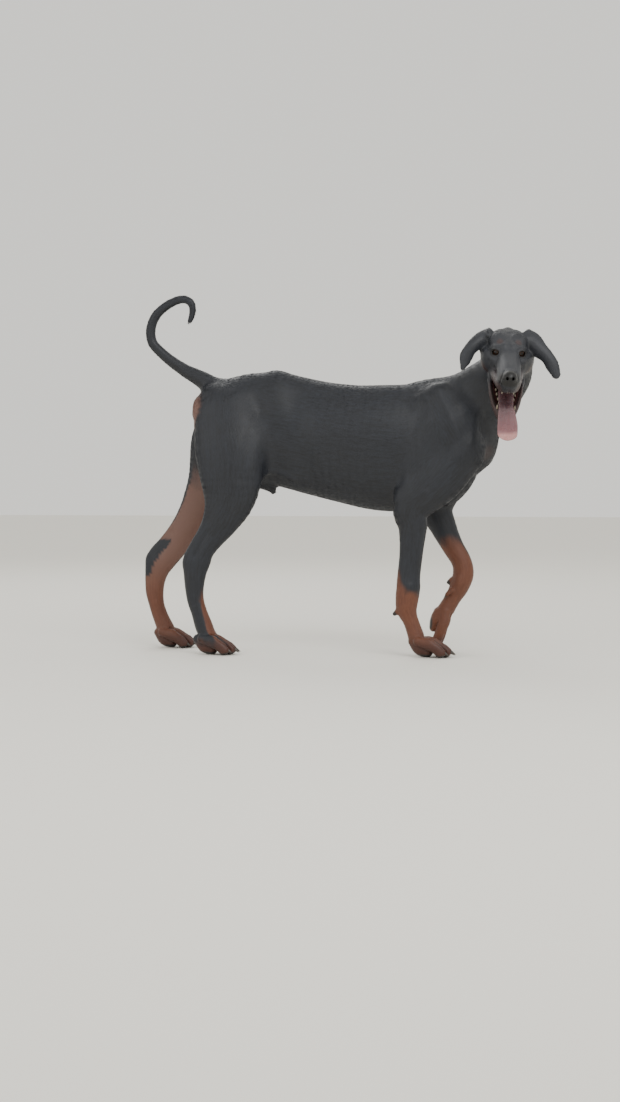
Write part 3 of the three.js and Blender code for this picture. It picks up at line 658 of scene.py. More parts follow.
def ear_distance(leaf, points):
    """A thin leaf with rounded edges, cupped across its width, most at its root."""
    found = np.full(len(points), FAR, np.float32)
    rows = rows_in(points, leaf["low"], leaf["high"])
    if not len(rows):
        return found
    near = points[rows]
    best = np.full(len(rows), FAR, np.float32)
    count = len(leaf["at"]) - 1
    past = (near - leaf["at"][0]) @ leaf["along"][0]
    for n in range(count):
        behind = past
        past = (near - leaf["at"][n + 1]) @ leaf["along"][n + 1]
        pick = np.nonzero(((behind >= 0) | (n == 0)) & ((past < 0) | (n == count - 1)))[0]
        if not len(pick):
            continue
        gap = behind[pick] - past[pick]
        t = np.clip(behind[pick] / np.where(np.abs(gap) < 1e-4, 1e-4, gap), 0, 1)
        beyond, before = np.maximum(past[pick], 0), np.maximum(-behind[pick], 0)
        spot = {
            key: leaf[key][n] + t[:, None] * (leaf[key][n + 1] - leaf[key][n])
            for key in ("at", "wide", "deep")
        }
        half = leaf["half"][n] + t * (leaf["half"][n + 1] - leaf["half"][n])
        rest = 1 - (n + t) / count
        q = near[pick] - spot["at"]
        wide = (q * spot["wide"]).sum(1)
        across = np.clip(wide / half, -1.2, 1.2)
        cup = EAR_CUP[0] + EAR_CUP[1] * rest
        deep = (q * spot["deep"]).sum(1) + cup * across**2 * half * leaf["sign"]
        thick = EAR_THICKNESS[0] + EAR_THICKNESS[1] * rest
        aside = np.maximum(np.sqrt(beyond**2 + wide**2) - half + thick, 0)
        best[pick] = np.minimum(best[pick], np.sqrt(aside**2 + deep**2 + before**2) - thick)
    found[rows] = best
    return found


NECK_BLEND = 24
SOLE = 0.15                                 # the pads are flat at this height


class Flesh:
    """The whole dog as one field, in millimetres in the trunk's frame."""

    def __init__(self, coat_depth):
        self.coat_depth = coat_depth
        self.body = body_chains()
        self.feet = foot_chains()
        self.face = face_chains()
        self.jaw = [head_chain(JAW, 8), head_chain(CHIN, 8)]
        for s in BOTH:
            self.jaw += [head_chain(lower_lip(s), 5), head_chain(mouth_corner(s), 7)]
        self.mouth = [head_chain(MOUTH_FLOOR, 5), head_chain(PALATE, 5)]
        self.nostrils = [head_chain(shape(s), 1.5) for s in BOTH for shape in (nostril, nostril_wing)]
        self.slits = []
        for s in BOTH:
            ends = [eye_at(s) + gaze(s) * run for run in (4, 34)]
            across = gaze(s).cross(Vector((0, 0.12 * s, 1))).normalized()
            self.slits.append(head_chain([(*p, *EYE_SLIT) for p in ends], 1.2, side=across, steps=1))
        corners = [HEAD_POSE @ Vector(corner) for corner in itertools.product(*HEAD_REACH)]
        self.head_low = np.min(corners, axis=0)
        self.head_high = np.max(corners, axis=0)
        self.ears = [ear_leaf(EAR[side], sign) for side, sign in SIDES.items()]
        self.lines = []
        self.lines = self.laid(trunk_lines() + paw_lines() + head_lines())

    def laid(self, lines):
        """The lines, drawn near the skin, moved onto it."""
        drawn = [resample(points, 3) for points, _, _ in lines]
        spots = np.vstack(drawn)
        for _ in range(6):
            spots = to_surface(self, spots, 12)
        parts = np.split(spots, np.cumsum([len(links) for links in drawn])[:-1])
        return [(part.astype(np.float32), line[1], line[2]) for part, line in zip(parts, lines)]

    def __call__(self, points):
        d = melt(self.body, points)
        d = melt(self.feet, points, d)
        rows = rows_in(points, self.head_low, self.head_high)
        if len(rows):
            d[rows] = self.head(points[rows], d[rows])
        for line in self.lines:
            reach = LINE_REACH * line[1]
            rows = rows_in(points, line[0].min(0) - reach, line[0].max(0) + reach)
            if len(rows):
                d[rows] -= line_bump(line, points[rows])
        for leaf in self.ears:
            d = smooth_join(d, ear_distance(leaf, points), EAR_BLEND)
        d = np.maximum(d + np.float32(self.coat_depth), np.float32(SOLE) - points[:, 2])
        return carved(self.nostrils + self.slits, points, d)

    def head(self, points, d):
        """The head and the open mouth, with a rim and a fold round each eye."""
        d = smooth_join(melt(self.face, points), d, NECK_BLEND)
        d = carved(self.mouth, points, melt(self.jaw, points, d))
        for slit in self.slits:
            rim = chain_distance(slit, points)
            d -= np.exp(-((rim - 1.8) / 1.5) ** 2) - 0.7 * np.exp(-((rim - 6) / 1.7) ** 2)
        return d


# Regions of the skin, in mm: a box and the width of its voxels
HEAD_REGION = ((258, -350, 512), (508, -70, 772), 1.92)
TRUNK_REGION = ((-545, -150, 90), (480, 150, 866), 6.0)
FEET = ((90, 300, 186), (-530, -220, 118))  # where a pair begins and ends along X, and its upper cut
FEET_ACROSS = (-140, 130)
FEET_VOXEL = 2.85
HEAD_SEAM = 1.5                             # half of the gap that is bridged
FEET_SEAM = 2


def mesh_from(bm, name):
    mesh = bpy.data.meshes.new(name)
    bm.to_mesh(mesh)
    bm.free()
    return mesh


def values_of(items, key, width, kind=float):
    """One property of many items, a row for each."""
    values = np.zeros(len(items) * width, kind)
    items.foreach_get(key, values)
    return values.reshape(-1, width)


def add_values(mesh, name, values):
    """Gives each point of a mesh a number or a vector."""
    values = np.asarray(values, float)
    vectors = values.ndim == 2
    layer = mesh.attributes.new(name, "FLOAT_VECTOR" if vectors else "FLOAT", "POINT")
    layer.data.foreach_set("vector" if vectors else "value", values.ravel())


def shade_smooth(mesh):
    mesh.polygons.foreach_set("use_smooth", np.ones(len(mesh.polygons), bool))


def contour(field, low, high, voxel):
    """Quads on the zero surface of a field in a box.

    The field is read in blocks, near the surface in half blocks, and close to it in single voxels.
    """
    block = 4
    wide = voxel * block
    counts = np.ceil((np.array(high) - low) / wide).astype(int)
    cells = np.indices(counts).reshape(3, -1).T
    middle = (np.array(low) + (cells + 0.5) * wide).astype(np.float32)
    rough = field(middle)
    band = np.float32(2 * voxel)
    near = np.nonzero(np.abs(rough) < 1.3 * wide + band)[0]
    volume = np.repeat(np.repeat(np.repeat(
        np.where(rough < 0, -band, band).astype(np.float32).reshape(counts), block, 0), block, 1), block, 2)
    halves = np.indices((2, 2, 2)).reshape(3, -1).T * 2
    pairs = (cells[near][:, None, :] * block + halves[None]).reshape(-1, 3)
    middle = (np.array(low) + (pairs + 1) * voxel).astype(np.float32)
    rough = field(middle)
    offsets = np.indices((2, 2, 2)).reshape(3, -1).T
    fill = (pairs[:, None, :] + offsets[None]).reshape(-1, 3)
    volume[fill[:, 0], fill[:, 1], fill[:, 2]] = np.repeat(np.clip(rough, -band, band), 8)
    near = np.abs(rough) < 1.2 * voxel * 2 + band / 2
    index = (pairs[near][:, None, :] + offsets[None]).reshape(-1, 3)
    points = (np.array(low) + (index + 0.5) * voxel).astype(np.float32)
    volume[index[:, 0], index[:, 1], index[:, 2]] = np.clip(field(points), -band, band)
    grid = openvdb.FloatGrid(float(band))
    grid.copyFromArray(volume)
    found, _, quads = grid.convertToPolygons(isovalue=0.0, adaptivity=0.0)
    return np.array(low) + (found + 0.5) * voxel, quads.astype(int)


def skin_part(verts, quads):
    """An edit mesh of quads."""
    bm = bmesh.new()
    made = [bm.verts.new(v) for v in verts.tolist()]
    for q in quads.tolist():
        bm.faces.new([made[i] for i in q])
    return bm


def cut_away(bm, at, normal, box=None):
    """Removes what lies behind a plane, inside a box where one is given."""
    geometry = [v for v in bm.verts if box is None or box[0] < v.co.x < box[1]]
    kept = set(geometry)
    edges = [e for e in bm.edges if e.verts[0] in kept and e.verts[1] in kept]
    faces = [f for f in bm.faces if all(v in kept for v in f.verts)]
    bmesh.ops.bisect_plane(
        bm, geom=geometry + edges + faces, plane_co=at, plane_no=normal, clear_inner=True, dist=1e-4)


def largest_island(bm):
    """Keeps only the largest connected surface."""
    bm.verts.index_update()
    pairs = np.array([[e.verts[0].index, e.verts[1].index] for e in bm.edges])
    label = np.arange(len(bm.verts))
    while True:
        low = np.minimum(label[pairs[:, 0]], label[pairs[:, 1]])
        new = label.copy()
        np.minimum.at(new, pairs[:, 0], low)
        np.minimum.at(new, pairs[:, 1], low)
        new = new[new]
        if np.array_equal(new, label):
            break
        label = new
    names, sizes = np.unique(label, return_counts=True)
    main = names[sizes.argmax()]
    bmesh.ops.delete(bm, geom=[v for v in bm.verts if label[v.index] != main], context="VERTS")


def merge_into(target, source):
    """Adds one edit mesh to another."""
    mesh = mesh_from(source, "part")
    target.from_mesh(mesh)
    bpy.data.meshes.remove(mesh)


def open_loops(bm):
    """The loops of open edges, each with its middle, in the order of the mesh."""
    bm.edges.index_update()
    left = {e.index: e for e in bm.edges if e.is_boundary}
    loops = []
    while left:
        stack = [left.pop(next(iter(left)))]
        loop = []
        while stack:
            e = stack.pop()
            loop.append(e)
            for v in e.verts:
                for other in v.link_edges:
                    if other.index in left:
                        stack.append(left.pop(other.index))
        middle = sum((v.co for e in loop for v in e.verts), Vector()) / (2 * len(loop))
        loops.append((middle, loop))
    return loops


def sew(bm):
    """Bridges each open loop with the nearest other one."""
    loops = open_loops(bm)
    while len(loops) > 1:
        middle, loop = loops.pop()
        near = min(range(len(loops)), key=lambda i: (loops[i][0] - middle).length)
        other = loops.pop(near)[1]
        bmesh.ops.bridge_loops(bm, edges=loop + other)


def settle(field, verts, edges, rounds):
    """Evens out a mesh along the surface: each point moves towards its neighbours and back to zero."""
    count = np.bincount(edges.ravel(), minlength=len(verts)).astype(float)[:, None]
    for _ in range(rounds):
        mean = np.zeros_like(verts)
        np.add.at(mean, edges[:, 0], verts[edges[:, 1]])
        np.add.at(mean, edges[:, 1], verts[edges[:, 0]])
        verts = verts + 0.5 * (mean / np.maximum(count, 1) - verts)
        verts = to_surface(field, verts)
    return verts


def slope(field, points, reach=0.4):
    """How the field changes along X, Y and Z at each point."""
    steps = np.eye(3, dtype=np.float32) * reach
    return np.stack([field(points + s) - field(points - s) for s in steps], axis=1) / (2 * reach)


def to_surface(field, verts, most=2):
    """One step of each point towards the zero surface."""
    points = verts.astype(np.float32)
    d = field(points)
    way = slope(field, points)
    size = np.maximum((way**2).sum(1), 0.15)
    move = np.clip(d / size, -most, most)[:, None] * way
    return verts - move


def build_skin(field):
    """Head, trunk and feet in voxels of their own widths, cut apart and sewn into one surface."""
    at, way = Vector(THROAT), Vector(HEADWARDS).normalized()
    head = skin_part(*contour(field, *HEAD_REGION))
    cut_away(head, at + HEAD_SEAM * way, way)
    trunk = skin_part(*contour(field, *TRUNK_REGION))
    cut_away(trunk, at - HEAD_SEAM * way, -way)
    made = [head]
    for low, high, level in FEET:
        corners = (low, FEET_ACROSS[0], -4), (high, FEET_ACROSS[1], level + 12)
        foot = skin_part(*contour(field, *corners, FEET_VOXEL))
        cut_away(foot, (0, 0, level - FEET_SEAM), (0, 0, -1))
        cut_away(trunk, (0, 0, level + FEET_SEAM), (0, 0, 1), (low, high))
        made.append(foot)
    largest_island(trunk)
    for part in made:
        merge_into(trunk, part)
    sew(trunk)
    bmesh.ops.recalc_face_normals(trunk, faces=trunk.faces)
    return trunk


def new_object(name, mesh, material=None):
    """An object at the origin, in the scene."""
    made = bpy.data.objects.new(name, mesh)
    bpy.context.scene.collection.objects.link(made)
    if material:
        mesh.materials.append(material)
    return made


def skin_object(coat_depth):
    field = Flesh(coat_depth)
    mesh = mesh_from(build_skin(field), "skin")
    verts = settle(field, values_of(mesh.vertices, "co", 3), values_of(mesh.edges, "vertices", 2, int), 2)
    past = np.clip(HOCK_STOP - verts[:, 0], 0, None)
    verts[:, 0] += past - HOCK_GIVE * (1 - np.exp(-past / HOCK_GIVE))
    mesh.vertices.foreach_set("co", ((verts + PLACE) * MM).ravel())
    shade_smooth(mesh)
    mesh.update()
    mark_skin(mesh, field, verts)
    return new_object("skin", mesh)


# Marks on the skin: the coat's lie, its grain, its markings and where it is bare
CHART_ROWS = 7                              # the chart has a square for each chain, in rows of this many
CHART_MARGIN = 0.04
CHART_TUFT = 0.003                          # the width of a tuft's own place on the chart
GRAIN_ALONG = 0.12                          # a length along the hair counts this much of one across it


def blend_over(a, b, value):
    """0 where a value is at a, 1 where it is at b, smooth between them."""
    t = np.clip((value - a) / (b - a), 0, 1)
    return t * t * (3 - 2 * t)


def lie_and_grain(chains, points):
    """Which way the hair lies, each point's place in a frame that runs along it, and on the bake chart."""
    n = len(points)
    lie = np.zeros((n, 3))
    grain = np.zeros((n, 3))
    weight_grain = np.zeros(n)
    chart = np.zeros((n, 2))
    nearest = np.full(n, FAR)
    for number, c in enumerate(chains):
        rows = rows_in(points, c["low"], c["high"])
        near = points[rows]
        best = np.full(len(rows), FAR, np.float32)
        way = np.zeros((len(rows), 3))
        place = np.zeros((len(rows), 3))
        for s in range(len(c["length"])):
            pick = rows_in(near, c["lows"][s], c["highs"][s])
            if not len(pick):
                continue
            away, run, wide, deep = segment_terms(c, s, near[pick])
            closer = away < best[pick]
            best[pick[closer]] = away[closer]
            way[pick[closer]] = c["along"][s] * c["lie"]
            spot = np.stack([wide, deep, run + c["from"][s]], axis=1)
            place[pick[closer]] = spot[closer]
        weight = np.exp(-np.clip(best, -20, 80) / 7.0)
        lie[rows] += weight[:, None] * way
        grain[rows] += (weight**3)[:, None] * (place * (1, 1, GRAIN_ALONG) + number * 37.0)
        weight_grain[rows] += weight**3
        mine = best < nearest[rows]
        better = rows[mine]
        nearest[better] = best[mine]
        turn = np.arctan2(place[:, 1], place[:, 0]) / (2 * math.pi) + 0.5
        share = np.clip((place[:, 2] + 80) / (c["from"][-1] + 160), 0, 1)
        column, row = number % CHART_ROWS, (number // CHART_ROWS) % CHART_ROWS
        inner = 1 - 2 * CHART_MARGIN
        chart[better] = np.stack([
            (column + CHART_MARGIN + inner * turn) / CHART_ROWS,
            (row + CHART_MARGIN + inner * share) / CHART_ROWS,
        ], axis=1)[mine]
    grain /= np.maximum(weight_grain, 1e-9)[:, None]
    return lie / np.maximum(np.linalg.norm(lie, axis=1), 1e-9)[:, None], grain, chart


# Heights of the legs' tan, in mm, and how much higher it reaches on some sides
FORE_TAN = {"right": 150, "left": 176}
FORE_TAN_INSIDE = 92
FORE_TAN_BEHIND = 46
HIND_TAN = 26
HIND_TAN_INSIDE = 396
HIND_TAN_FRONT = 120
# How strong the faint tan of the chest, the muzzle, and the cheeks and brows is
CHEST_TAN = 0.12
MUZZLE_TAN = 0.24
SPOT_TAN = 0.20


def leg_line(side, z):
    """Where the middle of a hind leg lies at a height."""
    upwards = HIND_LEG[side][::-1]
    return np.interp(z, [spot[2] for spot in upwards], [spot[0] for spot in upwards])


def under_tail(x, y, z):
    """The tan patch between the buttocks, narrow at its lower end."""
    half_width = 15 + 18 * blend_over(532, 590, z)
    waver = 0.07 * np.sin(z * 0.23 + y * 0.31) + 0.05 * np.sin(z * 0.51 - y * 0.2)
    away = np.sqrt(((x + 366) / half_width) ** 2 + ((z - 573) / 42) ** 2 + (y / 62) ** 6) + waver
    return blend_over(1.3, 0.85, away)


def fore_leg_tan(x, y, z, inside, behind, waver):
    """Tan up to the wrist, higher on the inside and at the back."""
    edge = np.where(y < 0, FORE_TAN["right"], FORE_TAN["left"])
    edge = edge + np.maximum(
        FORE_TAN_INSIDE * blend_over(-0.2, 0.6, inside),
        FORE_TAN_BEHIND * blend_over(0.1, 0.8, behind),
    ) + waver
    return np.where((x > 60) & (z < 330), blend_over(15, -15, z - edge), 0)


def hind_leg_tan(x, y, z, inside, behind, waver):
    """Tan toes, a stripe up the front, and the inside of the leg apart from the back of the hock."""
    behind_bone = x - np.where(y < 0, leg_line("right", z), leg_line("left", z))
    dark_hock = blend_over(150, 195, z) * blend_over(290, 240, z) * blend_over(-3, -15, behind_bone)
    inner = blend_over(0.0, 0.6, inside) * blend_over(-0.98, -0.6, -behind) * (1 - dark_hock)
    edge = HIND_TAN + np.maximum(HIND_TAN_INSIDE * inner, HIND_TAN_FRONT * blend_over(0.0, 0.8, -behind))
    soft = 16 + 26 * blend_over(200, 400, z)
    return np.where((x < -150) & (z < 500), blend_over(1, -1, (z - edge - waver) / soft), 0)


def face_tan(head_points, z):
    """Faint tan on the sides of the muzzle, the cheeks and the brows."""
    hx, hy, hz = head_points.T
    across = np.abs(hy)
    muzzle = blend_over(4, 44, hx) * blend_over(-18, -40, hz + 0.28 * across) * blend_over(126, 108, hx)
    cheek_spot = np.sqrt(((hx + 22) / 20) ** 2 + ((hz + 48) / 13) ** 2)
    brow_spot = np.sqrt(((hx + 10) / 7) ** 2 + ((across - 21) / 7) ** 2 + ((hz - 17) / 8) ** 2)
    spots = np.maximum(blend_over(1.5, 0.5, cheek_spot) * (across > 22), blend_over(1.5, 0.6, brow_spot))
    face = (hx > -90) & (across < 75) & (hz > -160) & (hz < 70) & (z > 500)
    return np.where(face, np.maximum(MUZZLE_TAN * muzzle, SPOT_TAN * spots), 0)


def markings(points, normals, head_points):
    """The tan of the legs, feet, vent and chest, and faintly of the face, from 0 to 1."""
    x, y, z = points.T
    inside, behind = -np.sign(y) * normals[:, 1], -normals[:, 0]
    waver = 5 * np.sin(x * 0.11 + z * 0.07)
    waver = waver + 4 * np.sin(y * 0.17 - z * 0.13) + 2 * np.sin(x * 0.31 - y * 0.23)
    chest_spot = np.sqrt(((np.abs(y) - 34) / 20) ** 2 + ((z - 478) / 18) ** 2)
    chest = CHEST_TAN * blend_over(1.4, 0.5, chest_spot) * (x > 290) * (z < 540)
    return np.maximum.reduce([
        fore_leg_tan(x, y, z, inside, behind, waver), hind_leg_tan(x, y, z, inside, behind, waver),
        under_tail(x, y, z), chest, face_tan(head_points, z),
    ])


def pink_skin(points, normals):
    """Where thin hair lets the skin show: under the tail and high inside the thighs."""
    x, y, z = points.T
    vent = 0.9 * under_tail(x, y, z)
    thigh = blend_over(0.0, 0.7, -np.sign(y) * normals[:, 1]) * blend_over(110, 250, z)
    return np.maximum(vent, 0.9 * thigh * (x < -150) * (z < 500))


def on_the_head(points):
    """How far a point lies on the head's side of the throat, in mm."""
    return (points - np.array(THROAT)) @ np.array(HEADWARDS)


COAT_PATCHES = (
    "coat_trunk_right", "coat_trunk_left", "coat_neck", "coat_head",
    "coat_fore_legs", "coat_hind_legs_right", "coat_hind_legs_left", "coat_tail",
)


def patch_numbers(points, head):
    """Which of the coat's patches a point belongs to, as its place in COAT_PATCHES."""
    x, y, z = points.T
    number = np.where(y < 0, 0.0, 1.0)
    hind = (x < -190) & (z < 520)
    for patch, where in (
        ("coat_neck", (x > 262) & (z > 460)),
        ("coat_fore_legs", (x > 90) & (z < 440)),
        ("coat_hind_legs_right", hind & (y < 0)),
        ("coat_hind_legs_left", hind & (y >= 0)),
        ("coat_tail", (x < -345) & (z > 600)),
        ("coat_head", (head > 0) & (x > 250)),
    ):
        number[where] = COAT_PATCHES.index(patch)
    return number


def in_head_box(head_points, points):
    """1 on the face itself and 0 on the ears and the neck."""
    hx, hy, _ = head_points.T
    return blend_over(66, 54, np.abs(hy)) * (points[:, 2] > 500) * (hx > -90)


# How strong the painted shade of the lips, the painted sheen on the top of the face and the grey of the ears
# are
LIP_SHADE = 0.8
FACE_SHEEN = 0.62
EAR_PALE = 0.5


def pads(points, normals):
    """The leather of the feet, the wrists and the vent."""
    x, y, z = points.T
    soles = blend_over(9, 5, z) * blend_over(0.2, 0.6, -normals[:, 2])
    behind_paw = blend_over(0.35, 0.7, -normals[:, 0] - 0.3 * normals[:, 2])
    pad_y, pad_z = BENT_PAD[2][1], BENT_PAD[2][2] + 10
    heart = np.sqrt(((y - pad_y) / 20) ** 2 + ((z - pad_z) / 18) ** 2)
    heart += 0.35 * np.exp(-(((y - pad_y) / 5) ** 2)) * (z < pad_z)
    heel = blend_over(1.1, 0.85, heart) * behind_paw * (x < 216) * (x > 175)
    tips = blend_over(26, 20, z) * behind_paw * (x < 206) * (x > 185) * (y > 10)
    wrists = [
        blend_over(2.5, 0.5, chain_distance(chain([CARPAL_PAD[side][1], tip], 0), points))
        for side, tip in CARPAL_TIP.items()
    ]
    vent = blend_over(7.5, 4.5, np.linalg.norm(points - np.array(VENT), axis=1))
    return np.maximum.reduce([soles, heel, tips, *wrists, vent])


def bare_places(field, points, normals, head_points):
    """Masks of the places without hair."""
    hx, hy, hz = head_points.T
    in_head = (points[:, 2] > 500) & (hx > -30)
    across = np.abs(hy)
    nose = blend_over(108, 113, hx - 0.10 * (hz + 18) + 0.02 * across**2) * blend_over(-37, -31, hz)
    mouth = [blend_over(6, 1, chain_distance(hollow, points)) for hollow in field.mouth]
    lids = [blend_over(3.4, 1.0, chain_distance(slit, points)) for slit in field.slits]
    return {
        "nose": nose * in_head * (across < 24) * (hx > 96),
        "mouth": np.maximum.reduce(mouth) * in_head,
        "lids": np.maximum.reduce(lids),
        "pad": pads(points, normals),
    }


def painted_face_shade(field, points, head_points):
    """Painted shade on the face: round the eyes, and along the lips, where it is partly the lips' own dark
    edge.
    """
    hx, hy, hz = head_points.T
    in_head = (points[:, 2] > 500) & (hx > -30)
    from_eye = np.sqrt((hx + 2) ** 2 + 0.8 * (np.abs(hy) - 25) ** 2 + 1.6 * (hz + 3) ** 2)
    lips = np.maximum.reduce([blend_over(9, 2, chain_distance(hollow, points)) for hollow in field.mouth])
    return np.maximum(blend_over(19, 9, from_eye) * in_head, LIP_SHADE * lips * in_head)


def face_sheen_and_ear_grey(field, points, normals, head_points):
    """Painted sheen on the top of the face, stronger where it faces up, and a paler grey over the ears."""
    hx, _, hz = head_points.T
    facing_up = blend_over(-0.3, 0.7, (normals @ np.array(HEAD_POSE.to_3x3()))[:, 2])
    on_face = blend_over(-70, -20, hx) * blend_over(-75, -30, hz) * facing_up
    on_face = on_face * in_head_box(head_points, points)
    on_ear = blend_over(4, 0.5, np.minimum(*(ear_distance(leaf, points) for leaf in field.ears)))
    return np.maximum(FACE_SHEEN * on_face, EAR_PALE * on_ear)


def mark_skin(mesh, field, verts):
    """Writes every mark on the skin's points, and each face's place on the bake chart."""
    points = verts.astype(np.float32)
    normals = slope(field, points, 0.8)
    normals /= np.maximum(np.linalg.norm(normals, axis=1), 1e-6)[:, None]
    turn = HEAD_POSE.inverted()
    head_points = verts @ np.array(turn.to_3x3()).T + np.array(turn.translation)
    x, _, z = points.T
    ears = [chain([(*spot[:3], 30, 30) for spot in EAR[side]], 0, steps=3) for side in SIDES]
    chains = field.body + field.feet + field.face + field.jaw + ears
    lie, grain, chart = lie_and_grain(chains, points)
    lie[:, 2] -= np.where((z > 380) & (x < 330), 0.22, 0)
    lie -= (lie * normals).sum(1)[:, None] * normals
    lie /= np.maximum(np.linalg.norm(lie, axis=1), 1e-6)[:, None]
    bare = bare_places(field, points, normals, head_points)
    facing_down = blend_over(0.1, -0.6, normals[:, 2])
    behind = blend_over(0.2, 0.8, -normals[:, 0]) * blend_over(560, 520, z)
    on_head = blend_over(-25, 25, on_the_head(points))
    towards_nose = 0.82 + 0.18 * blend_over(-30, 50, head_points[:, 0])
    marks = {
        # painted sheen on the top of the face, and the paler grey of the ears
        "pale": face_sheen_and_ear_grey(field, points, normals, head_points),
        "lie": lie,
        "grain": grain,
        "tan": markings(points, normals, head_points),
        **bare,
        "fur": (1 - bare["nose"]) * (1 - bare["mouth"]) * (1 - bare["lids"]) * (1 - bare["pad"]),
        "short": np.maximum(on_head * towards_nose, blend_over(440, 200, z)),
        "patch": patch_numbers(points, on_the_head(points)),
        "toes": blend_over(48, 22, z),
        "breaks": 0.55 + 0.45 * np.maximum.reduce([facing_down, behind, blend_over(300, 200, z)]),
        "pink": pink_skin(points, normals),
        # painted shade round the eyes and along the lips
        "shade": painted_face_shade(field, points, head_points),
    }
    for name, values in marks.items():
        add_values(mesh, name, values)
    first = values_of(mesh.polygons, "loop_start", 1, int).ravel()
    corner = values_of(mesh.loops, "vertex_index", 1, int).ravel()
    spot = chart[corner[first]]
    layer = mesh.attributes.new("chart", "FLOAT_VECTOR", "FACE")
    layer.data.foreach_set("vector", np.column_stack([spot, np.zeros(len(spot))]).ravel())


# Materials
def feed(tree, node, inputs):
    """Links a node's inputs to other sockets, or gives them plain values."""
    for key, value in inputs.items():
        if isinstance(value, bpy.types.NodeSocket):
            tree.links.new(value, node.inputs[key])
        else:
            node.inputs[key].default_value = value


def place_node(tree, kind, inputs=None, **settings):
    made = tree.nodes.new(kind)
    for key, value in settings.items():
        setattr(made, key, value)
    feed(tree, made, inputs or {})
    return made


def new_material(name):
    material = bpy.data.materials.new(name)
    material.use_nodes = True
    tree = material.node_tree
    return material, tree, tree.nodes["Principled BSDF"]


def mix_colours(tree, factor, a, b):
    return place_node(tree, "ShaderNodeMix", {"Factor": factor, 6: a, 7: b}, data_type="RGBA").outputs[2]


def mix_values(tree, factor, a, b):
    return place_node(tree, "ShaderNodeMix", {0: factor, 2: a, 3: b}, data_type="FLOAT").outputs[0]


def maths(tree, operation, *values):
    return place_node(tree, "ShaderNodeMath", dict(enumerate(values)), operation=operation).outputs[0]


def ramp(tree, value, low, high):
    """0 where a value is low, 1 where it is high, straight between them."""
    inputs = {"Value": value, "From Min": low, "From Max": high}
    return place_node(tree, "ShaderNodeMapRange", inputs).outputs["Result"]


def noise(tree, place, scale, detail):
    inputs = {"Vector": place, "Scale": scale, "Detail": detail}
    return place_node(tree, "ShaderNodeTexNoise", inputs).outputs["Fac"]


def object_place(tree):
    return place_node(tree, "ShaderNodeTexCoord").outputs["Object"]


def attribute(tree, name, output="Fac"):
    return place_node(tree, "ShaderNodeAttribute", attribute_name=name).outputs[output]


def shared_group(name, sockets, build):
    """A shader effect that several materials share."""
    found = bpy.data.node_groups.get(name)
    if found:
        return found
    tree = bpy.data.node_groups.new(name, "ShaderNodeTree")
    for label, way, kind, value in sockets:
        made = tree.interface.new_socket(label, in_out=way, socket_type=kind)
        if way == "INPUT" and value is not None:
            made.default_value = value
    build(tree, tree.nodes.new("NodeGroupInput").outputs, tree.nodes.new("NodeGroupOutput").inputs)
    return tree


def lay_of_hair(tree, given, out):
    fine = noise(tree, given["Grain"], given["Fineness"], 4.0)
    coarse = noise(tree, given["Grain"], 0.23, 2.0)
    tree.links.new(ramp(tree, maths(tree, "ADD", fine, coarse), 0.7, 1.3), out["Streak"])
    tree.links.new(fine, out["Height"])


def hair_lay(tree, fineness):
    """Streaks that run along the hair, and their height."""
    sockets = (
        ("Grain", "INPUT", "NodeSocketVector", None), ("Fineness", "INPUT", "NodeSocketFloat", 0.9),
        ("Streak", "OUTPUT", "NodeSocketFloat", None), ("Height", "OUTPUT", "NodeSocketFloat", None),
    )
    group = shared_group("lay_of_hair", sockets, lay_of_hair)
    inputs = {"Grain": attribute(tree, "grain", "Vector"), "Fineness": fineness}
    made = place_node(tree, "ShaderNodeGroup", inputs, node_tree=group)
    return made.outputs["Streak"], made.outputs["Height"]


def pebbles(tree, given, out):
    cells = place_node(tree, "ShaderNodeTexVoronoi", {"Vector": given["Place"], "Scale": given["Per metre"]})
    tree.links.new(cells.outputs["Distance"], out["Grain"])
    tree.links.new(noise(tree, given["Place"], 60.0, 3.0), out["Patch"])


def leather_grain(tree, per_metre):
    """Small raised cells, as on bare skin, and slow changes of tone."""
    sockets = (
        ("Place", "INPUT", "NodeSocketVector", None), ("Per metre", "INPUT", "NodeSocketFloat", 900.0),
        ("Grain", "OUTPUT", "NodeSocketFloat", None), ("Patch", "OUTPUT", "NodeSocketFloat", None),
    )
    group = shared_group("bare_skin_grain", sockets, pebbles)
    inputs = {"Place": object_place(tree), "Per metre": per_metre}
    made = place_node(tree, "ShaderNodeGroup", inputs, node_tree=group)
    return made.outputs["Grain"], made.outputs["Patch"]


def bump_from(tree, height, distance, strength):
    inputs = {"Height": height, "Strength": strength, "Distance": distance}
    return place_node(tree, "ShaderNodeBump", inputs).outputs["Normal"]


# Colours of painted shade and of bare skin, in the order in which they are laid on
SHADE_AND_BARE_TONES = {
    # painted shade round the eyes and along the lips
    "shade": (0.003, 0.003, 0.0035, 1),
    "mouth": (0.045, 0.015, 0.015, 1),
    "nose": (0.005, 0.005, 0.0055, 1),
    "lids": (0.010, 0.008, 0.008, 1),
    "pad": (0.020, 0.017, 0.016, 1),
}


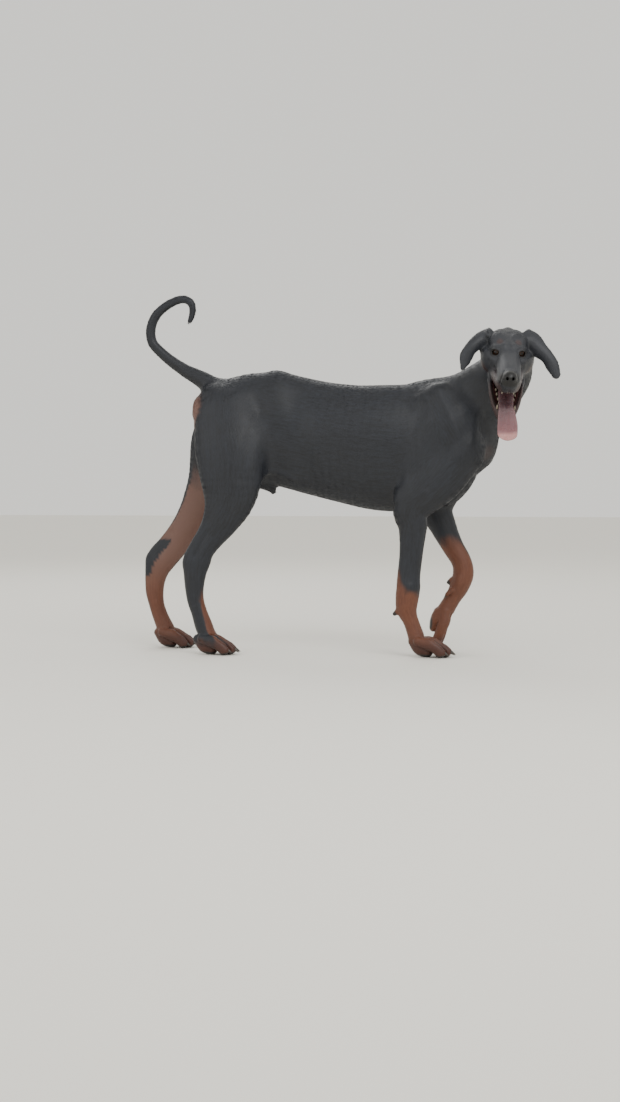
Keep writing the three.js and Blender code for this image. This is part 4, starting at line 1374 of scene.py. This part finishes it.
def coat_material(name, colours, fineness):
    """Short glossy hair, with the bare skin of the nose, lids, lips, mouth and pads, painted shade round the
    eyes and lips, and painted sheen on the top of the face.
    """
    material, tree, shader = new_material(name)
    streak, height = hair_lay(tree, fineness)
    grain, patch = leather_grain(tree, 900.0)
    slow = noise(tree, object_place(tree), 7.0, 3.0)
    dark = mix_colours(tree, streak, colours.black, colours.black_light)
    # painted sheen on the top of the face, and the paler grey of the ears
    black = mix_colours(tree, attribute(tree, "pale"), dark, colours.black_sheen_and_ear_grey)
    worn = mix_colours(tree, mix_values(tree, slow, 0.0, 0.5), black, colours.black_rusty)
    rust = mix_colours(tree, streak, colours.tan, colours.tan_light)
    deep = mix_colours(tree, mix_values(tree, slow, -0.1, 0.7), rust, colours.tan_dark)
    feet = mix_colours(tree, attribute(tree, "toes"), deep, colours.tan_dark)
    thin = mix_colours(tree, attribute(tree, "pink"), feet, colours.tan_pink)
    colour = mix_colours(tree, attribute(tree, "tan"), worn, thin)
    # the first tone is painted shade round the eyes and along the lips, the others are bare skin
    for mask, tone in SHADE_AND_BARE_TONES.items():
        colour = mix_colours(tree, attribute(tree, mask), colour, tone)
    covered = attribute(tree, "fur")
    rough = mix_values(
        tree, covered, mix_values(tree, patch, 0.22, 0.42), mix_values(tree, streak, 0.36, 0.52))
    relief = mix_values(tree, covered, maths(tree, "MULTIPLY", grain, 0.3), height)
    feed(tree, shader, {
        "Base Color": colour, "Roughness": rough, "Normal": bump_from(tree, relief, 0.0009, 0.5),
        "Specular IOR Level": 0.38, "Sheen Weight": 0.03, "Sheen Roughness": 0.4,
    })
    return material


def eye_material():
    """A dark brown iris round a black pupil, under a wet cornea."""
    material, tree, shader = new_material("eye")
    way = attribute(tree, "gaze", "Vector")
    ahead = place_node(tree, "ShaderNodeSeparateXYZ", {"Vector": way}).outputs["X"]
    spokes = noise(tree, way, 14.0, 4.0)
    ragged = maths(tree, "MULTIPLY_ADD", spokes, 0.08, maths(tree, "ARCCOSINE", ahead))
    fibres = mix_colours(tree, spokes, (0.010, 0.004, 0.002, 1), (0.034, 0.013, 0.005, 1))
    ringed = mix_colours(tree, ramp(tree, ragged, 0.66, 0.80), fibres, (0.006, 0.003, 0.002, 1))
    edged = mix_colours(tree, ramp(tree, ragged, 0.82, 0.92), ringed, (0.10, 0.065, 0.055, 1))
    colour = mix_colours(tree, ramp(tree, ragged, 0.26, 0.34), (0.001, 0.001, 0.001, 1), edged)
    feed(tree, shader, {
        "Base Color": colour, "Roughness": 0.12, "Specular IOR Level": 0.22, "Coat Weight": 0.22,
        "Coat Roughness": 0.02,
    })
    return material


def tongue_material():
    """Wet mauve flesh, paler and pinker at the tip and edges; the dark root and middle are painted shade
    under the muzzle, and the pale tip is partly its own colour and partly painted sunlight.
    """
    material, tree, shader = new_material("tongue")
    grain, patch = leather_grain(tree, 1100.0)
    tip = attribute(tree, "tip")
    # painted shade: the root and middle are darkened as under the muzzle; the pale tip is partly painted
    # sunlight
    root = mix_colours(tree, patch, (0.070, 0.038, 0.045, 1), (0.115, 0.062, 0.070, 1))
    middle = mix_colours(tree, patch, (0.20, 0.086, 0.098, 1), (0.28, 0.124, 0.138, 1))
    pale = mix_colours(tree, patch, (0.44, 0.21, 0.21, 1), (0.56, 0.30, 0.29, 1))
    body = mix_colours(tree, ramp(tree, tip, 0.42, 0.88), root, middle)
    flesh = mix_colours(tree, ramp(tree, tip, 0.80, 0.87), body, pale)
    feed(tree, shader, {
        "Base Color": mix_colours(tree, attribute(tree, "edge"), flesh, (0.34, 0.18, 0.19, 1)),
        "Roughness": mix_values(tree, patch, 0.18, 0.38), "Normal": bump_from(tree, grain, 0.0006, 0.5),
        "Subsurface Weight": 0.12, "Subsurface Radius": (0.004, 0.0012, 0.0008),
    })
    return material


def horn_material(name, root, tip, roughness):
    """Horn or tooth, streaked along its length, paler or darker at the tip."""
    material, tree, shader = new_material(name)
    along = attribute(tree, "leaf", "Vector")
    stretch = place_node(tree, "ShaderNodeMapping", {"Vector": along, "Scale": (3.0, 40.0, 3.0)})
    streak = noise(tree, stretch.outputs["Vector"], 1.0, 3.0)
    far = place_node(tree, "ShaderNodeSeparateXYZ", {"Vector": along}).outputs["X"]
    darker = tuple(c * 0.5 for c in root[:3]) + (1,)
    feed(tree, shader, {
        "Base Color": mix_colours(tree, streak, mix_colours(tree, far, root, tip), darker),
        "Roughness": mix_values(tree, streak, roughness, roughness + 0.2),
        "Normal": bump_from(tree, streak, 0.0004, 0.6),
    })
    return material


# The model's nodes that the skin replaces
PAIRED_NODES = ("hind_thigh", "hind_shank", "hind_foot", "forearm", "fore_foot", "ear")
FLESH_NODES = [
    "torso", "neck", "head", "lower_jaw", "tail_base", "tail_middle", "tail_tip",
    *(f"{part}_{side}" for part in PAIRED_NODES for side in SIDES),
]


def finish(piece, slot, *nodes):
    """Ties a piece to the dog's body, in place of the model's nodes. Its slot is not used."""
    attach(piece, "root")
    if nodes:
        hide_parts(*nodes)


# Separate pieces: eyes, tongue, claws, teeth and the coat's tufts
def grid_mesh(name, rows):
    """A skin over rows of points, each row a ring, with both ends closed."""
    bm = bmesh.new()
    rings = [[bm.verts.new(p) for p in row] for row in rows]
    for a, b in zip(rings[:-1], rings[1:]):
        for i in range(len(a)):
            j = (i + 1) % len(a)
            bm.faces.new((a[i], a[j], b[j], b[i]))
    bm.faces.new(list(reversed(rings[0])))
    bm.faces.new(rings[-1])
    bmesh.ops.recalc_face_normals(bm, faces=bm.faces)
    mesh = mesh_from(bm, name)
    shade_smooth(mesh)
    return mesh


def to_floor(point):
    """From the trunk's frame in mm to the floor's in metres."""
    return [(c + o) * MM for c, o in zip(point, PLACE)]


def eyeball(side, sign):
    """A ball with a raised cornea that looks along the gaze."""
    turn = gaze(sign).to_track_quat("X", "Z").to_matrix()
    rows, ways = [], []
    for n in range(1, EYE_RINGS):
        bend = math.pi * (n / EYE_RINGS) ** 1.3
        row = []
        for k in range(EYE_SPOKES):
            spin = 2 * math.pi * k / EYE_SPOKES
            way = Vector((math.cos(bend), math.sin(bend) * math.cos(spin), math.sin(bend) * math.sin(spin)))
            radius = BALL_RADIUS
            inside = CORNEA_RADIUS**2 - (CORNEA_AHEAD * math.sin(bend)) ** 2
            if inside > 0 and bend < math.pi / 2:
                radius = max(BALL_RADIUS, CORNEA_AHEAD * math.cos(bend) + math.sqrt(inside))
            row.append(to_floor(HEAD_POSE @ (eye_at(sign) + turn @ way * radius)))
            ways.append(tuple(way))
        rows.append(row)
    mesh = grid_mesh(f"eye_ball_{side}", rows)
    add_values(mesh, "gaze", ways)
    return mesh


def tongue_mesh():
    """A flat wet tongue with a furrow down its middle and edges that curl up."""
    c = chain(TONGUE, 0, steps=8, pose=HEAD_POSE)
    last = c["start"][-1:] + c["along"][-1:] * np.float32(c["length"][-1])
    at = np.vstack([c["start"], last])
    wide = np.vstack([c["wide"], c["wide"][-1:]])
    deep = np.vstack([c["deep"], c["deep"][-1:]])
    share = np.linspace(0, 1, len(at))
    rounded = np.sqrt(np.clip(1 - ((share - TONGUE_TIP) / (1 - TONGUE_TIP)).clip(0, 1) ** 2, 0.02, 1))
    rows, tips, edges = [], [], []
    for n, place in enumerate(at):
        thick, half = c["sizes"][n] * (rounded[n] ** 0.6, rounded[n])
        ripple = 0.5 * math.sin(n * 0.7) * share[n]
        row = []
        for k in range(TONGUE_SPOKES):
            spin = 2 * math.pi * k / TONGUE_SPOKES
            u, v = math.cos(spin), math.sin(spin)
            out = half * math.copysign(abs(u) ** 0.8, u)
            up = thick * math.copysign(abs(v) ** 0.9, v) * (1 - 0.35 * u * u)
            if v > 0:
                up -= 0.5 * thick * math.exp(-((out / (0.16 * half)) ** 2))
            up += 0.10 * half * abs(u) ** 3 + ripple * abs(u)
            row.append(to_floor(place + wide[n] * out + deep[n] * up))
            tips.append(share[n] + 0.02 * u)
            edges.append(0.4 * abs(u) ** 8)
        rows.append(row)
    mesh = grid_mesh("tongue", rows)
    add_values(mesh, "tip", tips)
    add_values(mesh, "edge", edges)
    return mesh


def horn_mesh(name, sides, rings, curve):
    """A tapering horn of unit length along X that bends down, widest near its root."""
    rows, leaf = [], []
    for n in range(rings):
        t = n / (rings - 1)
        radius = 0.5 * (1 - t**1.7) + 0.02
        drop = curve * 4 * t * (1 - t)
        row = []
        for k in range(sides):
            spin = 2 * math.pi * k / sides
            row.append((t, radius * math.cos(spin), radius * math.sin(spin) + drop))
            leaf.append((t, k / sides, 0))
        rows.append(row)
    mesh = grid_mesh(name, rows)
    add_values(mesh, "leaf", leaf)
    return new_object(name, mesh)


# A tuft of unit length, by its corners and its faces
TUFT_POINTS = (
    (0, -0.42, -0.25), (0, 0.42, -0.25), (0, 0, 0.12),
    (0.55, -0.36, 0.15), (0.55, 0.36, 0.15), (0.5, 0, 0.65), (1, 0, 0.1),
)
TUFT_FACES = (
    (0, 2, 1), (0, 1, 4), (0, 4, 3), (1, 2, 5), (1, 5, 4),
    (2, 0, 3), (2, 3, 5), (3, 4, 6), (4, 5, 6), (5, 3, 6),
)


def tuft_mesh():
    """A thin closed wedge of hair of unit length along X, raised in its middle."""
    bm = bmesh.new()
    corners = [bm.verts.new(p) for p in TUFT_POINTS]
    for face in TUFT_FACES:
        bm.faces.new([corners[i] for i in face])
    bmesh.ops.recalc_face_normals(bm, faces=bm.faces)
    mesh = mesh_from(bm, "tuft")
    add_values(mesh, "leaf", [(x, y + 0.5, 0) for x, y, _ in TUFT_POINTS])
    return new_object("tuft", mesh)


def geometry_tree(name, sockets):
    tree = bpy.data.node_groups.new(name, "GeometryNodeTree")
    tree.interface.new_socket("Geometry", in_out="INPUT", socket_type="NodeSocketGeometry")
    for label, kind in sockets:
        tree.interface.new_socket(label, in_out="INPUT", socket_type=kind)
    tree.interface.new_socket("Geometry", in_out="OUTPUT", socket_type="NodeSocketGeometry")
    return tree, tree.nodes.new("NodeGroupInput").outputs, tree.nodes.new("NodeGroupOutput").inputs


def named(tree, name, kind="FLOAT_VECTOR"):
    made = place_node(tree, "GeometryNodeInputNamedAttribute", {"Name": name}, data_type=kind)
    return made.outputs["Attribute"]


def dressed(tree, geometry, material, out):
    """Ends a tree: the geometry gets its material."""
    inputs = {"Geometry": geometry, "Material": material}
    made = place_node(tree, "GeometryNodeSetMaterial", inputs)
    tree.links.new(made.outputs["Geometry"], out["Geometry"])


def placed_horns():
    """Puts a horn at each point, turned and scaled as the point says."""
    tree, given, out = geometry_tree(
        "placed_horns", (("Horn", "NodeSocketObject"), ("Material", "NodeSocketMaterial")))
    horn = place_node(tree, "GeometryNodeObjectInfo", {"Object": given["Horn"]})
    spin = place_node(tree, "FunctionNodeEulerToRotation", {"Euler": named(tree, "turn")})
    many = place_node(tree, "GeometryNodeInstanceOnPoints", {
        "Points": given["Geometry"], "Instance": horn.outputs["Geometry"],
        "Rotation": spin.outputs["Rotation"], "Scale": named(tree, "size"),
    })
    real = place_node(tree, "GeometryNodeRealizeInstances", {"Geometry": many.outputs["Instances"]})
    dressed(tree, real.outputs["Geometry"], given["Material"], out)
    return tree


def laid_tufts():
    """Spreads tufts over one patch of the skin, along the lie of the coat."""
    tree, given, out = geometry_tree("laid_tufts", (
        ("Tuft", "NodeSocketObject"), ("Material", "NodeSocketMaterial"), ("Patch", "NodeSocketFloat"),
        ("Per square metre", "NodeSocketFloat"), ("Length", "NodeSocketFloat"), ("Width", "NodeSocketFloat"),
        ("Height", "NodeSocketFloat"), ("Seed", "NodeSocketInt"),
    ))

    def random(low, high, seed):
        """A draw between two values for each tuft."""
        made = place_node(tree, "FunctionNodeRandomValue", data_type="FLOAT")
        floats = [k for k in made.inputs if k.type == "VALUE"]
        floats[0].default_value = low
        floats[1].default_value = high
        tree.links.new(maths(tree, "ADD", given["Seed"], float(seed)), made.inputs["Seed"])
        return [k for k in made.outputs if k.type == "VALUE"][0]

    def vectors(operation, a, b):
        return place_node(tree, "ShaderNodeVectorMath", {0: a, 1: b}, operation=operation).outputs[0]

    away = maths(tree, "ABSOLUTE", maths(tree, "SUBTRACT", named(tree, "patch", "FLOAT"), given["Patch"]))
    mine = maths(tree, "LESS_THAN", away, 0.4)
    chance = maths(tree, "MULTIPLY", mine, named(tree, "fur", "FLOAT"))
    sparse = maths(tree, "MULTIPLY", chance, named(tree, "breaks", "FLOAT"))
    spread = place_node(tree, "GeometryNodeDistributePointsOnFaces", {
        "Mesh": given["Geometry"], "Density": maths(tree, "MULTIPLY", given["Per square metre"], sparse),
        "Seed": given["Seed"],
    }, distribute_method="RANDOM")
    upright = place_node(
        tree, "FunctionNodeAlignRotationToVector", {"Vector": spread.outputs["Normal"]}, axis="Z")
    combed = place_node(tree, "FunctionNodeAlignRotationToVector", {
        "Rotation": upright.outputs["Rotation"], "Vector": named(tree, "lie"),
    }, axis="X", pivot_axis="Z")
    sway = place_node(tree, "ShaderNodeCombineXYZ", {"Y": random(0.0, 0.07, 5), "Z": random(-0.2, 0.2, 3)})
    by = place_node(tree, "FunctionNodeEulerToRotation", {"Euler": sway.outputs[0]})
    swayed = place_node(tree, "FunctionNodeRotateRotation", {
        "Rotation": combed.outputs["Rotation"], "Rotate By": by.outputs["Rotation"],
    }, rotation_space="LOCAL")
    shorter = maths(tree, "SUBTRACT", 1.0, maths(tree, "MULTIPLY", named(tree, "short", "FLOAT"), 0.64))
    grow = maths(tree, "MULTIPLY", shorter, random(0.7, 1.25, 1))
    thin = maths(tree, "MULTIPLY", maths(tree, "POWER", shorter, 0.6), random(0.8, 1.2, 2))
    size = place_node(tree, "ShaderNodeCombineXYZ", {
        "X": maths(tree, "MULTIPLY", grow, given["Length"]),
        "Y": maths(tree, "MULTIPLY", thin, given["Width"]),
        "Z": maths(tree, "MULTIPLY", thin, given["Height"]),
    })
    tuft = place_node(tree, "GeometryNodeObjectInfo", {"Object": given["Tuft"]})
    kept = place_node(tree, "GeometryNodeStoreNamedAttribute", {
        "Geometry": spread.outputs["Points"], "Name": "ground", "Value": spread.outputs["Normal"],
    }, data_type="FLOAT_VECTOR", domain="POINT")
    many = place_node(tree, "GeometryNodeInstanceOnPoints", {
        "Points": kept.outputs["Geometry"], "Instance": tuft.outputs["Geometry"],
        "Rotation": swayed.outputs["Rotation"], "Scale": size.outputs[0],
    })
    real = place_node(tree, "GeometryNodeRealizeInstances", {"Geometry": many.outputs["Instances"]})
    leaf = vectors("SUBTRACT", named(tree, "leaf"), (0.5, 0.5, 0))
    spot = vectors("ADD", vectors("MULTIPLY", leaf, (CHART_TUFT, CHART_TUFT, 0)), named(tree, "chart"))
    stored = place_node(tree, "GeometryNodeStoreNamedAttribute", {
        "Geometry": real.outputs["Geometry"], "Name": "OFBake", "Value": spot,
    }, data_type="FLOAT2", domain="CORNER")
    dressed(tree, stored.outputs["Geometry"], given["Material"], out)
    return tree


def grown(name, source, tree, settings):
    """The plain mesh that a node tree makes from an object."""
    modifier = source.modifiers.new("grow", "NODES")
    modifier.node_group = tree
    identifiers = {
        item.name: item.identifier for item in tree.interface.items_tree
        if item.item_type == "SOCKET" and item.in_out == "INPUT"
    }
    for label, value in settings.items():
        modifier[identifiers[label]] = value
    bpy.context.view_layer.update()
    graph = bpy.context.evaluated_depsgraph_get()
    mesh = bpy.data.meshes.new_from_object(
        source.evaluated_get(graph), preserve_all_data_layers=True, depsgraph=graph)
    source.modifiers.remove(modifier)
    mesh.name = name
    return new_object(name, mesh)


BOX_MARGIN = 0.0002
SLEEK = 0.92                                # how much of a tuft's shading comes from the skin under it


def keep_in_box(mesh):
    """Presses the hair that would pass the floor or the model's box back inside."""
    low, high = np.array(CAD_BOX[0]) + BOX_MARGIN, np.array(CAD_BOX[1]) - BOX_MARGIN
    mesh.vertices.foreach_set("co", np.clip(values_of(mesh.vertices, "co", 3), low, high).ravel())
    mesh.update()


def soften_tufts(mesh):
    """Shades each tuft almost as the skin under it, so that the coat looks sleek."""
    ground = values_of(mesh.attributes["ground"].data, "vector", 3)
    own = values_of(mesh.vertex_normals, "vector", 3)
    mixed = SLEEK * ground + (1 - SLEEK) * own
    mixed /= np.maximum(np.linalg.norm(mixed, axis=1), 1e-6)[:, None]
    mesh.attributes.remove(mesh.attributes["ground"])
    shade_smooth(mesh)
    mesh.normals_split_custom_set_from_vertices(mixed)


def horns(name, places, material, sides, rings, curve):
    """One piece of many horns. Each place is (root, tip, width, thickness) in the trunk's frame, in mm."""
    mesh = bpy.data.meshes.new("places")
    mesh.from_pydata([to_floor(root) for root, _, _, _ in places], [], [])
    turns, sizes = [], []
    for root, tip, width, thickness in places:
        way = Vector(tip) - Vector(root)
        turns.append(tuple(way.to_track_quat("X", "Z").to_euler()))
        sizes.append((way.length * MM, width * MM, thickness * MM))
    add_values(mesh, "turn", turns)
    add_values(mesh, "size", sizes)
    source = new_object("places", mesh)
    horn = horn_mesh("horn", sides, rings, curve)
    piece = grown(name, source, placed_horns(), {"Horn": horn, "Material": material})
    for helper in (source, horn):
        bpy.data.objects.remove(helper)
    shade_smooth(piece.data)
    return piece


def claw_places(name):
    """Root, tip, width and thickness of each claw of a paw."""
    if name not in FLAT_PAWS:
        return [(*map(Vector, bent_claw(n)), 6.2, 8.0) for n in TOES]
    pose = paw_pose(*FLAT_PAWS[name])
    return [(*(pose @ Vector(end) for end in claw(n)), 6.4, 8.4) for n in TOES]


class DogSizes(bpy.types.PropertyGroup):
    coat_depth: bpy.props.FloatProperty(
        name="Coat depth", description="How far the hair stands over the skin, in mm", default=1.0,
        min=0.2, max=4, unit="NONE")
    tuft_length: bpy.props.FloatProperty(
        name="Tuft length", description="Length of a tuft on the trunk", default=0.0095, unit="LENGTH")
    tuft_width: bpy.props.FloatProperty(
        name="Tuft width", description="Width of a tuft on the trunk", default=0.0015, unit="LENGTH")
    tuft_height: bpy.props.FloatProperty(
        name="Tuft height", description="How far a tuft stands out of the skin", default=0.0009,
        unit="LENGTH")
    tufts: bpy.props.FloatProperty(
        name="Tufts per square metre", description="How many tufts the trunk carries", default=90000, min=0,
        unit="NONE")


class DogColours(bpy.types.PropertyGroup):
    black: bpy.props.FloatVectorProperty(
        name="Black", description="The dark coat", subtype="COLOR", size=4,
        default=(0.0055, 0.0070, 0.0108, 1))
    black_light: bpy.props.FloatVectorProperty(
        name="Black, lighter", description="Dark hair that catches light", subtype="COLOR", size=4,
        default=(0.017, 0.0210, 0.031, 1))
    # painted sheen on the top of the face, and the grey of the ears
    black_sheen_and_ear_grey: bpy.props.FloatVectorProperty(
        name="Black, pale", description="The very short hair of the face", subtype="COLOR", size=4,
        default=(0.040, 0.043, 0.052, 1))
    black_rusty: bpy.props.FloatVectorProperty(
        name="Black, worn", description="Dark hair turned brown by the sun", subtype="COLOR", size=4,
        default=(0.012, 0.011, 0.011, 1))
    tan: bpy.props.FloatVectorProperty(
        name="Tan", description="The marked coat", subtype="COLOR", size=4, default=(0.108, 0.034, 0.0155, 1))
    tan_light: bpy.props.FloatVectorProperty(
        name="Tan, lighter", description="Marked hair that catches light", subtype="COLOR", size=4,
        default=(0.175, 0.062, 0.031, 1))
    tan_dark: bpy.props.FloatVectorProperty(
        name="Tan, darker", description="Marked hair on the toes", subtype="COLOR", size=4,
        default=(0.062, 0.022, 0.015, 1))
    tan_pink: bpy.props.FloatVectorProperty(
        name="Tan, thin", description="Marked hair that skin shows through", subtype="COLOR", size=4,
        default=(0.145, 0.078, 0.062, 1))


# The stage, in metres, millimetres of lens and degrees
FLOOR_HALF = 12
LIT_POINT = (0, 0, 0.45)
SOFTBOXES = (
    ("softbox_key", (1.6, -2.6, 3.0), 2.6, 70),
    ("softbox_fill", (-2.4, -2.4, 1.8), 2.4, 18),
    ("softbox_back", (-1.2, 2.6, 2.8), 2.4, 30),
)
LENS = 61.25
SENSOR_WIDTH = 36
CAMERA_PLACE = (0.5387, -4.3545, 0.450)
CAMERA_DOWN = 2.626
CAMERA_TURN = 8


class DOG_OT_stage(bpy.types.Operator):
    """Adds the floor, the studio light and the camera"""
    bl_idname = "dog.stage"
    bl_label = "Stage"

    def execute(self, context):
        scene = context.scene
        material, tree, shader = new_material("studio_floor")
        feed(tree, shader, {"Base Color": (0.86, 0.84, 0.78, 1), "Roughness": 0.8})
        bm = bmesh.new()
        bmesh.ops.create_grid(bm, x_segments=2, y_segments=2, size=FLOOR_HALF)
        new_object("studio_floor", mesh_from(bm, "studio_floor"), material)
        world = bpy.data.worlds.new("studio")
        world.use_nodes = True
        sky = world.node_tree.nodes["Background"]
        feed(world.node_tree, sky, {"Color": (0.93, 0.915, 0.865, 1), "Strength": 1.12})
        scene.world = world
        for name, place, size, watts in SOFTBOXES:
            light = bpy.data.lights.new(name, "AREA")
            light.shape = "DISK"
            light.size = size
            light.energy = watts
            lamp = bpy.data.objects.new(name, light)
            lamp.location = place
            lamp.rotation_euler = (Vector(LIT_POINT) - Vector(place)).to_track_quat("-Z", "Y").to_euler()
            scene.collection.objects.link(lamp)
        view = bpy.data.cameras.new("camera")
        view.lens = LENS
        view.sensor_width = SENSOR_WIDTH
        camera = bpy.data.objects.new("camera", view)
        camera.location = CAMERA_PLACE
        camera.rotation_euler = (math.radians(90 - CAMERA_DOWN), 0, math.radians(CAMERA_TURN))
        scene.collection.objects.link(camera)
        scene.camera = camera
        return {"FINISHED"}


class DOG_OT_skin(bpy.types.Operator):
    """Builds the skin of the whole dog as one surface"""
    bl_idname = "dog.skin"
    bl_label = "Skin"

    def execute(self, context):
        skin = skin_object(context.scene.dog_sizes.coat_depth)
        skin.data.materials.append(coat_material("skin_and_undercoat", context.scene.dog_colours, 0.9))
        finish(skin, "coat", *FLESH_NODES)
        return {"FINISHED"}


FIRST_SEED = 11
HEAD_DENSITY = 2.2                          # how much closer the tufts stand on the head


class DOG_OT_coat(bpy.types.Operator):
    """Lays tufts of short hair over the skin, patch by patch"""
    bl_idname = "dog.coat"
    bl_label = "Coat"

    def execute(self, context):
        skin = bpy.data.objects.get("skin")
        if skin is None:
            raise RuntimeError("The coat grows on the skin, which has to be built first")
        sizes = context.scene.dog_sizes
        material = coat_material("tufts_of_hair", context.scene.dog_colours, 1.3)
        tree = laid_tufts()
        tuft = tuft_mesh()
        for number, name in enumerate(COAT_PATCHES):
            piece = grown(name, skin, tree, {
                "Tuft": tuft, "Material": material, "Patch": float(number),
                "Per square metre": sizes.tufts * (HEAD_DENSITY if name == "coat_head" else 1.0),
                "Length": sizes.tuft_length, "Width": sizes.tuft_width, "Height": sizes.tuft_height,
                "Seed": FIRST_SEED + number,
            })
            keep_in_box(piece.data)
            soften_tufts(piece.data)
            finish(piece, "coat")
        bpy.data.objects.remove(tuft)
        return {"FINISHED"}


class DOG_OT_eyes(bpy.types.Operator):
    """Builds both eyeballs"""
    bl_idname = "dog.eyes"
    bl_label = "Eyes"

    def execute(self, context):
        material = eye_material()
        for side, sign in SIDES.items():
            piece = new_object(f"eye_ball_{side}", eyeball(side, sign), material)
            finish(piece, "eye", f"eye_{side}")
        return {"FINISHED"}


class DOG_OT_tongue(bpy.types.Operator):
    """Builds the tongue, which hangs out over the lower jaw"""
    bl_idname = "dog.tongue"
    bl_label = "Tongue"

    def execute(self, context):
        finish(new_object("hanging_tongue", tongue_mesh(), tongue_material()), "tongue", "tongue")
        return {"FINISHED"}


# Sides, rings and bend of a horn
CLAW_SHAPE = (14, 9, 0.12)
TOOTH_SHAPE = (10, 7, -0.06)


class DOG_OT_claws(bpy.types.Operator):
    """Builds the claws of each paw, and the dewclaws"""
    bl_idname = "dog.claws"
    bl_label = "Claws"

    def execute(self, context):
        material = horn_material("claw", (0.035, 0.028, 0.024, 1), (0.11, 0.09, 0.075, 1), 0.28)
        for limb in ("fore", "hind"):
            for side in SIDES:
                paw = f"{limb}_foot_{side}"
                piece = horns(f"claws_{limb}_{side}", claw_places(paw), material, *CLAW_SHAPE)
                finish(piece, "claw", *[f"{paw}_claw_{n}" for n in range(1, len(TOES) + 1)])
        for side in SIDES:
            root, _, tip = (Vector(c[:3]) for c in DEWCLAW[side])
            piece = horns(f"dewclaw_horn_{side}", [(root, tip, 7, 9)], material, *CLAW_SHAPE)
            finish(piece, "claw", f"fore_foot_{side}_dewclaw")
        return {"FINISHED"}


class DOG_OT_teeth(bpy.types.Operator):
    """Builds the canines, incisors and first cheek teeth that show in the open mouth"""
    bl_idname = "dog.teeth"
    bl_label = "Teeth"

    def execute(self, context):
        material = horn_material("tooth", (0.30, 0.24, 0.17, 1), (0.50, 0.46, 0.38, 1), 0.22)
        piece = horns("teeth", tooth_places(), material, *TOOTH_SHAPE)
        finish(piece, "claw")
        return {"FINISHED"}


class DOG_PT_panel(bpy.types.Panel):
    """Lists the steps that dress the dog"""
    bl_idname = "DOG_PT_panel"
    bl_label = "Doberman"
    bl_space_type = "VIEW_3D"
    bl_region_type = "UI"
    bl_category = "Doberman"

    def draw(self, context):
        for group in (context.scene.dog_sizes, context.scene.dog_colours):
            for name in group.__annotations__:
                self.layout.prop(group, name)
        for step in STEPS:
            self.layout.operator(step.bl_idname)


STEPS = (DOG_OT_stage, DOG_OT_skin, DOG_OT_coat, DOG_OT_eyes, DOG_OT_tongue, DOG_OT_claws, DOG_OT_teeth)
GROUPS = (DogSizes, DogColours)


def register():
    for kind in (*GROUPS, *STEPS, DOG_PT_panel):
        bpy.utils.register_class(kind)
    bpy.types.Scene.dog_sizes = bpy.props.PointerProperty(type=DogSizes)
    bpy.types.Scene.dog_colours = bpy.props.PointerProperty(type=DogColours)


def unregister():
    del bpy.types.Scene.dog_colours
    del bpy.types.Scene.dog_sizes
    for kind in reversed((*GROUPS, *STEPS, DOG_PT_panel)):
        bpy.utils.unregister_class(kind)


def main():
    register()
    bpy.ops.dog.stage()
    bpy.ops.dog.skin()
    bpy.ops.dog.coat()
    bpy.ops.dog.eyes()
    bpy.ops.dog.tongue()
    bpy.ops.dog.claws()
    bpy.ops.dog.teeth()
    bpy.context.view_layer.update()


if __name__ == "__main__":
    main()
